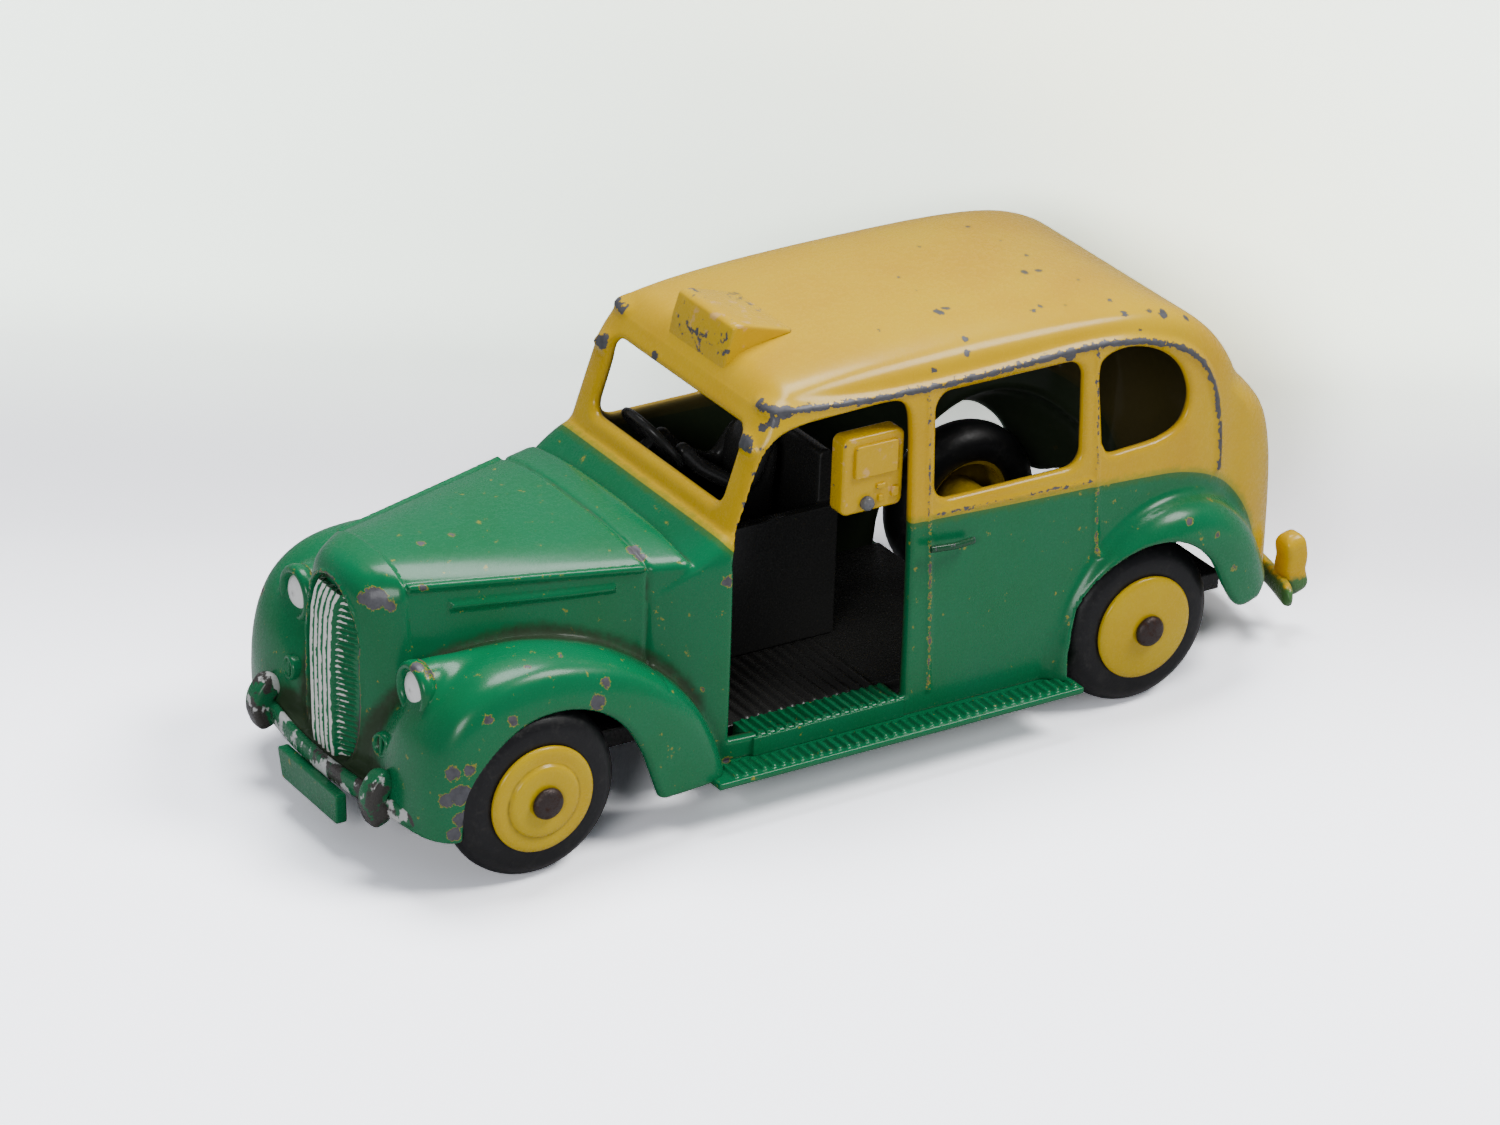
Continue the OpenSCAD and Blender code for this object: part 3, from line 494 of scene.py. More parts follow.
def spotsAt(p):
    # depth in millimetres inside the nearest bare spot: radius minus distance, largest of all spots
    best = np.full(len(p), -5.0)
    for s in chipSpots:
        best = np.maximum(best, s[3] - np.sqrt(np.sum((p - s[:3]) ** 2, 1)))
    w = np.abs(p[:, 1])
    rim = np.where(w > 10, 0.26 - np.abs(tables["gutter"](p[:, 0], p[:, 2])), -5)
    door = np.where((w > 13) & (p[:, 0] < 14), 0.06 - np.abs(tables["seam"](p[:, 0], p[:, 2])), -5)
    return np.maximum(best, np.maximum(rim, door))


def node(tree, kind, **values):
    made = tree.nodes.new(kind)
    for key, value in values.items():
        setattr(made, key, value)
    return made


def calc(tree, operation, *args, clamp=False):
    # one Math node; each argument is a number or a socket
    made = node(tree, "ShaderNodeMath", operation=operation, use_clamp=clamp)
    for i, a in enumerate(args):
        if isinstance(a, bpy.types.NodeSocket):
            tree.links.new(a, made.inputs[i])
        else:
            made.inputs[i].default_value = a
    return made.outputs[0]


def plus(tree, a, b, clamp=False):
    return calc(tree, "ADD", a, b, clamp=clamp)


def times(tree, a, b, clamp=False):
    return calc(tree, "MULTIPLY", a, b, clamp=clamp)


def scaled(tree, a, b, c):
    # a * b + c
    return calc(tree, "MULTIPLY_ADD", a, b, c)


def step(tree, value, low, high):
    # 0 at low, 1 at high, smooth between
    made = node(tree, "ShaderNodeMapRange", interpolation_type="SMOOTHSTEP")
    tree.links.new(value, made.inputs["Value"])
    made.inputs["From Min"].default_value, made.inputs["From Max"].default_value = low, high
    return made.outputs["Result"]


def blendColour(tree, factor, a, b):
    made = node(tree, "ShaderNodeMix", data_type="RGBA")
    for socket, value in ((made.inputs[0], factor), (made.inputs[6], a), (made.inputs[7], b)):
        if isinstance(value, bpy.types.NodeSocket):
            tree.links.new(value, socket)
        elif isinstance(value, (int, float)):
            socket.default_value = value
        else:
            socket.default_value = (*value, 1)
    return made.outputs[2]


def speckle(tree, coords, scale, detail=3.0, rough=0.55, offset=0.0):
    # noise about zero, scale in bumps per millimetre
    made = node(tree, "ShaderNodeTexNoise")
    shifted = node(tree, "ShaderNodeMapping")
    shifted.inputs["Location"].default_value = (offset, offset * 0.7, -offset)
    shifted.inputs["Scale"].default_value = (1000, 1000, 1000)
    tree.links.new(coords, shifted.inputs["Vector"])
    tree.links.new(shifted.outputs[0], made.inputs["Vector"])
    made.inputs["Scale"].default_value = scale
    made.inputs["Detail"].default_value = detail
    made.inputs["Roughness"].default_value = rough
    return calc(tree, "SUBTRACT", made.outputs["Fac"], 0.5)


def newGroup(name, inputs, outputs):
    tree = bpy.data.node_groups.new(name, "ShaderNodeTree")
    for label, kind, value in inputs:
        made = tree.interface.new_socket(label, in_out="INPUT", socket_type="NodeSocket" + kind)
        made.default_value = value
    for label, kind in outputs:
        tree.interface.new_socket(label, in_out="OUTPUT", socket_type="NodeSocket" + kind)
    return tree, node(tree, "NodeGroupInput"), node(tree, "NodeGroupOutput")


def makeWornPaint():
    # enamel over zinc: chips where wear plus noise passes a level, an undercoat ring round each chip,
    # dirt with painted shade in creases, and painted shade on the inner walls
    tree, i, o = newGroup("wornPaint", [
        ("Paint", "Color", (0.8, 0.4, 0, 1)), ("Undercoat", "Color", (0.8, 0.4, 0, 1)),
        ("Metal", "Color", (0.09, 0.09, 0.1, 1)),
        ("Overspray", "Color", (0.1, 0.2, 0.02, 1)), ("Wear", "Float", 0.0), ("Spots", "Float", -5.0),
        ("Dirt", "Float", 0.0),
        ("Belt", "Float", 9.0), ("Inside", "Float", 0.0), ("Chip Amount", "Float", 0.3),
        ("Ring Amount", "Float", 0.0),
        ("Dirt Amount", "Float", 0.6)],
        [("Color", "Color"), ("Roughness", "Float"), ("Metallic", "Float"), ("Height", "Float")])
    coords = node(tree, "ShaderNodeTexCoord").outputs["Object"]
    broad = speckle(tree, coords, 0.16, 2.0, 0.5, 3.1)
    rough = speckle(tree, coords, 1.5, 4.0, 0.6, 7.7)
    fine = speckle(tree, coords, 5.0, 3.0, 0.6, 1.3)
    sparse = speckle(tree, coords, 1.1, 2.0, 0.5, 21.0)
    worn = scaled(tree, i.outputs["Wear"], 1.1, i.outputs["Chip Amount"])
    worn = scaled(tree, rough, 1.5, worn)
    worn = scaled(tree, broad, 1.6, worn)
    worn = calc(tree, "SUBTRACT", worn, 1.3)
    spot = scaled(tree, i.outputs["Spots"], 1.6, scaled(tree, rough, 1.5, times(tree, fine, 0.5)))
    speck = calc(tree, "SUBTRACT", plus(tree, sparse, times(tree, fine, 0.12)), 0.33)
    level = calc(tree, "MAXIMUM", calc(tree, "MAXIMUM", worn, spot), speck)
    chip = step(tree, level, 0.0, 0.05)
    ring = times(tree, step(tree, scaled(tree, fine, 0.32, level), -0.12, -0.05), i.outputs["Ring Amount"],
                 clamp=True)
    shade = node(tree, "ShaderNodeHueSaturation")
    tree.links.new(i.outputs["Paint"], shade.inputs["Color"])
    tree.links.new(scaled(tree, plus(tree, broad, times(tree, rough, 0.35)), 0.22, 1.0),
                   shade.inputs["Value"])
    tree.links.new(scaled(tree, broad, 0.02, 0.5), shade.inputs["Hue"])
    band = step(tree, scaled(tree, rough, 1.1, calc(tree, "ABSOLUTE", i.outputs["Belt"])), 0.75, 0.0)
    colour = blendColour(tree, times(tree, band, 0.55), shade.outputs[0], i.outputs["Overspray"])
    colour = blendColour(tree, ring, colour, i.outputs["Undercoat"])
    metal = node(tree, "ShaderNodeHueSaturation")
    tree.links.new(i.outputs["Metal"], metal.inputs["Color"])
    tree.links.new(scaled(tree, rough, 1.4, 1.0), metal.inputs["Value"])
    colour = blendColour(tree, chip, colour, metal.outputs[0])
    # dirt and painted shade: dark brown where the dirt value runs high, in creases, the bonnet and wing
    # valley and the apron behind the bumper
    grimeAndShade = scaled(tree, i.outputs["Dirt"], i.outputs["Dirt Amount"],
                   times(tree, plus(tree, rough, broad), 0.5))
    grimeAndShade = step(tree, grimeAndShade, 0.12, 0.75)
    film = times(tree, step(tree, plus(tree, broad, times(tree, rough, 0.6)), 0.0, 0.5), 0.1)
    colour = blendColour(tree, calc(tree, "MAXIMUM", times(tree, grimeAndShade, 0.8), film), colour,
                         (0.022, 0.013, 0.006))
    # painted shade: the casting's inner walls are darkened almost to black
    colour = blendColour(tree, times(tree, i.outputs["Inside"], 0.93), colour, (0.022, 0.025, 0.012))
    tree.links.new(colour, o.inputs["Color"])
    dull = calc(tree, "MAXIMUM", times(tree, chip, 0.3), times(tree, grimeAndShade, 0.4))
    dull = calc(tree, "MAXIMUM", dull, times(tree, i.outputs["Inside"], 0.4))
    glossy = scaled(tree, plus(tree, rough, fine), 0.1, 0.27)
    tree.links.new(plus(tree, glossy, dull, clamp=True), o.inputs["Roughness"])
    tree.links.new(times(tree, chip, 0.45), o.inputs["Metallic"])
    height = calc(tree, "SUBTRACT", times(tree, plus(tree, rough, fine), 0.05), chip)
    tree.links.new(height, o.inputs["Height"])
    return tree


wornPaint = makeWornPaint()


def addBump(tree, height, relief):
    # relief in millimetres for a height of 1
    bump = node(tree, "ShaderNodeBump")
    bump.inputs["Strength"].default_value = 1.0
    bump.inputs["Distance"].default_value = relief * mm
    tree.links.new(height, bump.inputs["Height"])
    tree.links.new(bump.outputs[0], tree.nodes["Principled BSDF"].inputs["Normal"])


def enamel(name, paint, under=(0.75, 0.36, 0.01), metal=(0.085, 0.085, 0.095), over=(0.2, 0.22, 0.02),
           chips=0.3, ring=0.0,
           dirt=0.6, coat=0.25, relief=0.03, extra=None):
    mat = newMaterial(name, paint, 0.3, 0.0, coat)
    tree = mat.node_tree
    shader = tree.nodes["Principled BSDF"]
    shader.inputs["Specular IOR Level"].default_value = 0.22
    shader.inputs["Coat IOR"].default_value = 1.3
    shader.inputs["Coat Roughness"].default_value = 0.12
    group = node(tree, "ShaderNodeGroup", node_tree=wornPaint)
    for key, value in (("Paint", paint), ("Undercoat", under), ("Metal", metal), ("Overspray", over)):
        group.inputs[key].default_value = (*value, 1)
    # the dirt amount sets how strongly dirt and painted shade darken the creases
    for key, value in (("Chip Amount", chips), ("Ring Amount", ring), ("Dirt Amount", dirt)):
        group.inputs[key].default_value = value
    for key in ("Wear", "Spots", "Dirt", "Belt", "Inside"):
        made = node(tree, "ShaderNodeAttribute", attribute_name=key.lower())
        tree.links.new(made.outputs["Fac"], group.inputs[key])
    colour = group.outputs["Color"]
    if extra:
        colour = extra(tree, colour)
    tree.links.new(colour, shader.inputs["Base Color"])
    tree.links.new(group.outputs["Roughness"], shader.inputs["Roughness"])
    tree.links.new(group.outputs["Metallic"], shader.inputs["Metallic"])
    addBump(tree, group.outputs["Height"], relief)
    return mat


def patches(colour2, scale, level, strength, offset):
    # a second colour laid on in soft-edged patches where noise passes a level
    def add(tree, colour):
        coords = node(tree, "ShaderNodeTexCoord").outputs["Object"]
        n = speckle(tree, coords, scale, 4.0, 0.6, offset)
        return blendColour(tree, times(tree, step(tree, n, level, level + 0.05), strength), colour, colour2)
    return add


def alongHeight(colour2, low, high, strength, axis="Z"):
    # a second colour that fades in between two heights, broken up by noise
    def add(tree, colour):
        coords = node(tree, "ShaderNodeTexCoord").outputs["Object"]
        split = node(tree, "ShaderNodeSeparateXYZ")
        tree.links.new(coords, split.inputs[0])
        place = scaled(tree, split.outputs[axis], 1000.0,
                       times(tree, speckle(tree, coords, 1.0, 3.0, 0.6, 5.0), 1.5))
        return blendColour(tree, times(tree, step(tree, place, low, high), strength), colour, colour2)
    return add


def both(first, second):
    return lambda tree, colour: second(tree, first(tree, colour))


def ribCrests(tree, colour):
    # silver on the crests, dark in the valleys between them
    wearAttribute = node(tree, "ShaderNodeAttribute", attribute_name="crest")
    coords = node(tree, "ShaderNodeTexCoord").outputs["Object"]
    n = speckle(tree, coords, 1.3, 4.0, 0.6, 9.0)
    crest = scaled(tree, n, 1.1, wearAttribute.outputs["Fac"])
    silver = step(tree, crest, 0.42, 0.55)
    return blendColour(tree, silver, colour, (0.66, 0.65, 0.62))


yellow, green = (0.56, 0.34, 0.0), (0.0026, 0.128, 0.046)
# the dirt amounts below also set the strength of the painted shade in creases
yellowPaint = enamel("yellowPaint", yellow, over=(0.12, 0.2, 0.02), chips=0.28, dirt=0.5)
greenPaint = enamel("greenPaint", green, under=(0.5, 0.32, 0.004), over=(0.06, 0.12, 0.01), chips=0.3,
                    ring=0.45, dirt=0.9)
blackPaint = enamel("blackPaint", (0.022, 0.022, 0.021), metal=(0.06, 0.055, 0.05), chips=0.1, dirt=0.3,
                    coat=0.0)
hubPaint = enamel("hubPaint", (0.5, 0.33, 0.0), chips=0.12, dirt=0.75, coat=0.35)
signPaint = enamel("signPaint", yellow, chips=0.8, dirt=0.45, extra=patches((0.7, 0.42, 0.3), 0.9, 0.1, 0.35,
        12.0))
silverPaint = enamel("silverPaint", (0.045, 0.042, 0.038), metal=(0.07, 0.068, 0.066), chips=0.4, dirt=0.6,
                     coat=0.0,
                     extra=both(patches(green, 0.3, -0.02, 0.85, 8.2),
                                patches((0.5, 0.5, 0.49), 0.5, 0.03, 0.95, 4.4)))
rearBumperPaint = enamel("rearBumperPaint", yellow, chips=0.5, dirt=0.5,
                         extra=alongHeight(green, 5.6, 5.0, 0.9))
handlePaint = enamel("handlePaint", (0.006, 0.06, 0.022), chips=0.75, dirt=0.4)
zincBare = enamel("zincBare", (0.12, 0.12, 0.125), chips=0.4, dirt=0.3, coat=0.0)
lampPaint = enamel("lampPaint", (0.78, 0.78, 0.76), metal=(0.05, 0.12, 0.07), chips=0.12, dirt=0.5)
grillePaint = enamel("grillePaint", green, under=(0.6, 0.6, 0.58), chips=0.0, dirt=1.0, extra=ribCrests)


def plainWith(name, base, second, rough, metallic, scale, level, relief):
    # one colour broken up by a second, with a roughness that follows the same noise
    mat = newMaterial(name, base, rough, metallic)
    tree = mat.node_tree
    shader = tree.nodes["Principled BSDF"]
    coords = node(tree, "ShaderNodeTexCoord").outputs["Object"]
    n = speckle(tree, coords, scale, 5.0, 0.65, 6.0)
    f = speckle(tree, coords, scale * 4, 3.0, 0.6, 2.0)
    mask = step(tree, plus(tree, n, times(tree, f, 0.4)), level, level + 0.3)
    tree.links.new(blendColour(tree, mask, base, second), shader.inputs["Base Color"])
    tree.links.new(plus(tree, scaled(tree, f, 0.15, rough), times(tree, mask, 0.2)),
                   shader.inputs["Roughness"])
    addBump(tree, plus(tree, n, f), relief)
    shader.inputs["Specular IOR Level"].default_value = 0.25
    return mat


rubber = plainWith("rubber", (0.006, 0.006, 0.0068), (0.022, 0.021, 0.02), 0.42, 0.0, 0.8, 0.0, 0.02)
steel = plainWith("steel", (0.045, 0.034, 0.032), (0.035, 0.014, 0.008), 0.38, 0.55, 1.4, -0.05, 0.05)
floorPaint = newMaterial("floorPaint", (0.86, 0.87, 0.92), 0.9)


def brightToCamera():
    # the backdrop: overexposed paper as the camera meets it, ordinary grey to the light that reaches the car
    tree = floorPaint.node_tree
    seen = node(tree, "ShaderNodeLightPath").outputs["Is Camera Ray"]
    coords = node(tree, "ShaderNodeTexCoord").outputs["Object"]
    split = node(tree, "ShaderNodeSeparateXYZ")
    tree.links.new(coords, split.inputs[0])
    rise = step(tree, split.outputs["Z"], 0.001, 0.02)
    paper = blendColour(tree, rise, (1.9, 1.92, 2.02), (3.9, 4.3, 3.8))
    tree.links.new(blendColour(tree, seen, (0.45, 0.45, 0.47), paper),
                   tree.nodes["Principled BSDF"].inputs["Base Color"])
    tree.nodes["Principled BSDF"].inputs["Specular IOR Level"].default_value = 0.0


brightToCamera()

# casting pieces
castStep = 0.28
whole, quads = fieldMesh(bodyField, (-47.5, -19, 3), (47.5, 19, 39), castStep)
casting = addMesh("casting", whole, quads)
print("casting field meshed:", len(whole), "points", len(quads), "faces")


def wearAt(p, normal):
    return np.clip(curvature(bodyField, p, normal, 0.35) * 2.2, 0, 1)


def dirtAndShadeAt(p, normal):
    # dirt and painted shade: darker in hollows, in the valley where bonnet meets wing, and on the apron
    # behind the bumper
    x, y, z = p.T
    valley = 0.75 * ramp(np.maximum(np.abs(noseField(x, y, z)), np.abs(wingField(x, y, z))), 2.0, 0.3)
    apron = 1.2 * ramp(x, 40.5, 43) * ramp(np.abs(y), 10.5, 7) * ramp(z, 10, 7.2)
    return np.clip(np.maximum(-curvature(bodyField, p, normal, 0.5) * 2.2, np.maximum(valley, apron)), 0, 1.2)


beltPrism = prism("beltPrism", beltLine, -22, 22)
noseBox = prism("noseBox", [[21.85, -5], [60, -5], [60, 50], [21.85, 50]], -22, 22)
upper = keepInside(copyOf(casting, "castUpper"), beltPrism)
lower = keepInside(copyOf(casting, "castLower"), beltPrism, "DIFFERENCE")
front = keepInside(copyOf(lower, "castFront"), noseBox)
rear = keepInside(copyOf(lower, "castRear"), noseBox, "DIFFERENCE")
drop(casting, lower, beltPrism, noseBox)
for obj, material in ((upper, yellowPaint), (front, greenPaint), (rear, greenPaint)):
    obj.data.materials.clear()
    obj.data.materials.append(material)
    finishCasting(obj, bodyField, wearAt, dirtAndShadeAt)
    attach(obj, "chassis")
    print(obj.name, len(obj.data.polygons), "faces")
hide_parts("body_upper")
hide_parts("bonnet", "front_wing_left", "front_wing_right")
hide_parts("scuttle", "side_left", "side_right", "rear_wing_left", "rear_wing_right")

# surfaces of two parameters

def gridFaces(rows, cols, wrapRows=False, wrapCols=True):
    # quads between neighbouring rows and columns of a grid of points
    r = np.arange(rows if wrapRows else rows - 1)
    c = np.arange(cols if wrapCols else cols - 1)
    i, j = np.meshgrid(r, c, indexing="ij")
    i2, j2 = (i + 1) % rows, (j + 1) % cols
    return np.stack([i * cols + j, i2 * cols + j, i2 * cols + j2, i * cols + j2], -1).reshape(-1, 4)


def closeEnds(points, rows, cols):
    # a grid wrapped round its columns, with a centre point and a fan of triangles at each end
    p = points.reshape(rows, cols, 3)
    faces = gridFaces(rows, cols).tolist()
    n = rows * cols
    j = np.arange(cols)
    k = (j + 1) % cols
    faces += np.stack([np.full(cols, n), j, k], 1).tolist()
    last = (rows - 1) * cols
    faces += np.stack([np.full(cols, n + 1), last + k, last + j], 1).tolist()
    return np.vstack([p.reshape(-1, 3), p[0].mean(0), p[-1].mean(0)]), faces


def outward(points, faces):
    # turns every face over if the shape's signed volume is negative
    p = np.asarray(points)
    tri = np.array([[f[0], f[i], f[i + 1]] for f in faces for i in range(1, len(f) - 1)])
    a, b, c = p[tri[:, 0]], p[tri[:, 1]], p[tri[:, 2]]
    if np.sum(np.cross(a, b) * c) < 0:
        faces = [f[::-1] for f in faces]
    return points, faces


def lathe(profile, centre, axis, around=96):
    # radius and height pairs turned about an axis: centre + height * axis + radius * (cos t, sin t)
    profile = np.asarray(profile, float)
    a = np.asarray(axis, float) / np.linalg.norm(axis)
    u = np.cross(a, [0, 0, 1] if abs(a[2]) < 0.9 else [1, 0, 0])
    u /= np.linalg.norm(u)
    v = np.cross(a, u)
    t = np.linspace(0, 2 * np.pi, around, endpoint=False)
    ring = np.cos(t)[:, None] * u + np.sin(t)[:, None] * v
    p = np.asarray(centre) + profile[:, 1, None, None] * a + profile[:, 0, None, None] * ring
    return p


def turned(profile, centre, axis, around=96):
    p = lathe(profile, centre, axis, around)
    return outward(*closeEnds(p, len(profile), around))


def turnedRing(profile, centre, axis, around=96):
    # as turned, with a closed profile that doesn't reach the axis
    p = lathe(profile, centre, axis, around)
    return outward(p.reshape(-1, 3), gridFaces(len(profile), around, wrapRows=True).tolist())


def slab(outline, stations, origin, across, up, out):
    # outline moved inwards by each station's inset and lifted by its height, closed by a fan at both ends
    o = np.asarray(outline, float)
    e = np.roll(o, -1, axis=0) - np.roll(o, 1, axis=0)
    e /= np.maximum(np.linalg.norm(e, axis=1, keepdims=True), 1e-9)
    inwards = np.stack([-e[:, 1], e[:, 0]], 1)
    area = np.sum(o[:, 0] * np.roll(o[:, 1], -1) - np.roll(o[:, 0], -1) * o[:, 1])
    inwards *= np.sign(area)
    s = np.asarray(stations, float)
    q = o[None] + s[:, 0, None, None] * inwards[None]
    p = (np.asarray(origin, float) + q[..., :1] * np.asarray(across, float) + q[..., 1:] * np.asarray(up,
            float)
         + s[:, 1, None, None] * np.asarray(out, float))
    return outward(*closeEnds(p, len(s), len(o)))


def roundedStations(low, high, r, steps=5):
    # insets and heights of a block whose two end edges are rounded with radius r
    t = np.linspace(0, np.pi / 2, steps)
    a = np.stack([r * (1 - np.sin(t)), low + r * (1 - np.cos(t))], 1)
    b = np.stack([r * (1 - np.cos(t)), high - r * (1 - np.sin(t))], 1)
    return np.vstack([[[r + 0.03, low]], a, b, [[r + 0.03, high]]])


def carried(profile, path, radius=None, closed=False, upHint=(0, 0, 1)):
    # profile points set square to the path at every station, scaled by the station's radius
    path = np.asarray(path, float)
    t = np.gradient(path, axis=0)
    t /= np.linalg.norm(t, axis=1, keepdims=True)
    side = np.cross(np.asarray(upHint, float), t)
    side /= np.linalg.norm(side, axis=1, keepdims=True)
    up = np.cross(t, side)
    k = np.ones(len(path)) if radius is None else np.asarray(radius, float)
    q = np.asarray(profile, float)[None] * k[:, None, None]
    p = path[:, None] + q[..., :1] * side[:, None] + q[..., 1:] * up[:, None]
    if closed:
        return outward(p.reshape(-1, 3), gridFaces(len(path), len(profile), wrapRows=True).tolist())
    return outward(*closeEnds(p, len(path), len(profile)))


def ring2(n, a=1.0, b=1.0, power=2.0):
    # superellipse: |u/a|^power + |v/b|^power = 1
    t = np.linspace(0, 2 * np.pi, n, endpoint=False)
    c, s = np.cos(t), np.sin(t)
    return np.stack([a * np.sign(c) * np.abs(c) ** (2 / power), b * np.sign(s) * np.abs(s) ** (2 / power)], 1)


def capsulePath(points, r, ends=6, steps=8):
    # a smooth path with extra stations whose radius shrinks round at both ends
    p = smoothCurve(points, steps) if len(points) > 2 else np.linspace(points[0], points[1], 12)
    a, b = p[0] - p[1], p[-1] - p[-2]
    a, b = a / np.linalg.norm(a), b / np.linalg.norm(b)
    t = np.linspace(0, np.pi / 2, ends)[1:]
    head = p[0] + a * r * np.sin(t)[::-1, None]
    tail = p[-1] + b * r * np.sin(t)[:, None]
    k = np.concatenate([np.cos(t)[::-1], np.ones(len(p)), np.cos(t)])
    return np.vstack([head, p, tail]), np.maximum(k, 0.02) * r


def mirrored(shape):
    points, faces = shape
    return np.asarray(points) * [1, -1, 1], [f[::-1] for f in faces]


def joined(*shapes):
    # several closed shapes as one mesh
    points, faces, start = [], [], 0
    for p, f in shapes:
        points.append(np.asarray(p))
        faces += [[i + start for i in face] for face in f]
        start += len(p)
    return np.vstack(points), faces


def addPiece(name, shape, material, body, nodes=(), sharp=35, edgeWear=None):
    # a numpy surface as a finished piece: material, smooth shading, wear at its corners,
    # and its place in the frame
    obj = addMesh(name, shape[0], shape[1], material)
    mesh = obj.data
    mesh.update()
    mesh.set_sharp_from_angle(angle=math.radians(sharp))
    markEdges(obj, edgeWear)
    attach(obj, body)
    if nodes:
        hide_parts(*nodes)
    return obj


def markEdges(obj, edgeWear=None):
    # wear where a vertex stands proud of its neighbours' mean, dirt with painted shade where it sits below it
    mesh = obj.data
    p = points3(obj)
    edges = np.empty(len(mesh.edges) * 2, np.int32)
    mesh.edges.foreach_get("vertices", edges)
    edges = edges.reshape(-1, 2)
    total, count = np.zeros_like(p), np.zeros(len(p))
    for a, b in (edges.T, edges.T[::-1]):
        np.add.at(total, a, p[b])
        np.add.at(count, a, 1)
    normal = np.empty(len(p) * 3, np.float32)
    mesh.vertices.foreach_get("normal", normal)
    gap = p - total / np.maximum(count, 1)[:, None]
    length = np.linalg.norm(p[edges[:, 0]] - p[edges[:, 1]], axis=1)
    typical = np.zeros(len(p))
    np.add.at(typical, edges[:, 0], length)
    np.add.at(typical, edges[:, 1], length)
    typical /= np.maximum(count, 1)
    proud = np.sum(gap * normal.reshape(-1, 3), 1) / np.maximum(typical, 1e-6)
    values = {"wear": np.clip(proud * 2.2, 0, 1), "dirt": np.clip(-proud * 2.2, 0, 1)}
    values["spots"] = spotsAt(p)
    values["belt"] = np.full(len(p), 9.0)
    if edgeWear is not None:
        values["crest"] = edgeWear(p)
    for key, v in values.items():
        made = mesh.attributes.get(key) or mesh.attributes.new(key, "FLOAT", "POINT")
        made.data.foreach_set("value", v.astype(np.float32))


def softCopy(nodes, name, grain, material, body, smooth=2):
    # a cast look for straight-sided nodes: merged copy, fine remesh,
    # and a little smoothing that rounds every edge
    shapes = []
    for n in nodes:
        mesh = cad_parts[n].data
        co = np.empty(len(mesh.vertices) * 3, np.float32)
        mesh.vertices.foreach_get("co", co)
        shapes.append((co.reshape(-1, 3) / mm, [list(p.vertices) for p in mesh.polygons]))
    obj = addMesh(name, *joined(*shapes))
    weld = obj.modifiers.new("weld", "WELD")
    weld.merge_threshold = 0.00001
    fine = obj.modifiers.new("fine", "REMESH")
    fine.mode, fine.voxel_size = "VOXEL", grain * mm * 1
    if smooth:
        soften = obj.modifiers.new("soften", "SMOOTH")
        soften.factor, soften.iterations = 0.5, smooth
    applied(obj)
    obj.data.materials.clear()
    obj.data.materials.append(material)
    obj.data.polygons.foreach_set("use_smooth", np.ones(len(obj.data.polygons), bool))
    markEdges(obj)
    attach(obj, body)
    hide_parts(*nodes)
    print(name, len(obj.data.polygons), "faces")
    return obj


# wheels
wheelSizes = {"tyreRadius": 7.45, "tyreWidth": 4.35, "tyreBore": 4.3, "corner": 1.9, "hubRadius": 4.65,
              "bore": 0.96,
              "bossRadius": 2.1, "bossDepth": 6.9, "frontFace": 17.8, "rearFace": 15.9, "faceToTyre": 0.82,
              "headRadius": 1.38, "axleRadius": 0.88}


def tyreProfile(out, width, r1, r0):
    # closed section from the bead over a rounded tread, with a fine step on the side wall
    b = width / 2
    a = np.radians(np.linspace(78, -78, 25))
    c = wheelSizes["corner"]
    tread = np.stack([r1 - c + c * np.cos(a), out - b + b * np.sin(a) * 0.985], 1)
    side = [[r0, out - 0.30], [r0 + 0.12, out - 0.12], [r0 + 0.4, out - 0.04], [r1 - 2.6, out - 0.02],
            [r1 - 2.4, out + 0.01]]
    back = [[r0 + 0.5, out - width + 0.1], [r0 + 0.1, out - width + 0.35],
            [r0, out - width + 0.6]]
    return np.vstack([side, tread, back])


def hubProfile(face, out, raised):
    # radius and height from the middle of the outer face to the back of the drum
    r, bore = wheelSizes["hubRadius"], wheelSizes["bore"]
    boss, back = wheelSizes["bossRadius"], face - wheelSizes["bossDepth"]
    if raised:
        front = [[bore, face - 0.08], [1.0, face - 0.05], [1.5, face - 0.03], [1.9, face], [2.6, face - 0.02],
                 [2.95, face - 0.07],
                 [3.12, face - 0.18], [3.18, face - 0.36], [3.26, face - 0.42], [3.6, face - 0.36]]
    else:
        front = [[bore, face - 0.08], [1.0, face - 0.04], [1.5, face - 0.02], [1.8, face - 0.04],
                 [2.4, face - 0.1], [3.0, face - 0.17],
                 [3.6, face - 0.25]]
    rim = [[4.1, face - 0.33], [4.4, face - 0.4], [4.56, face - 0.5], [4.64, face - 0.62], [r, face - 0.76],
           [r - 0.06, face - 0.9], [4.36, face - 1.0], [4.34, out - 3.4], [3.9, out - 3.5], [3.7, face - 2.2],
           [boss, face - 2.4], [boss, back], [bore, back]]
    return front + rim


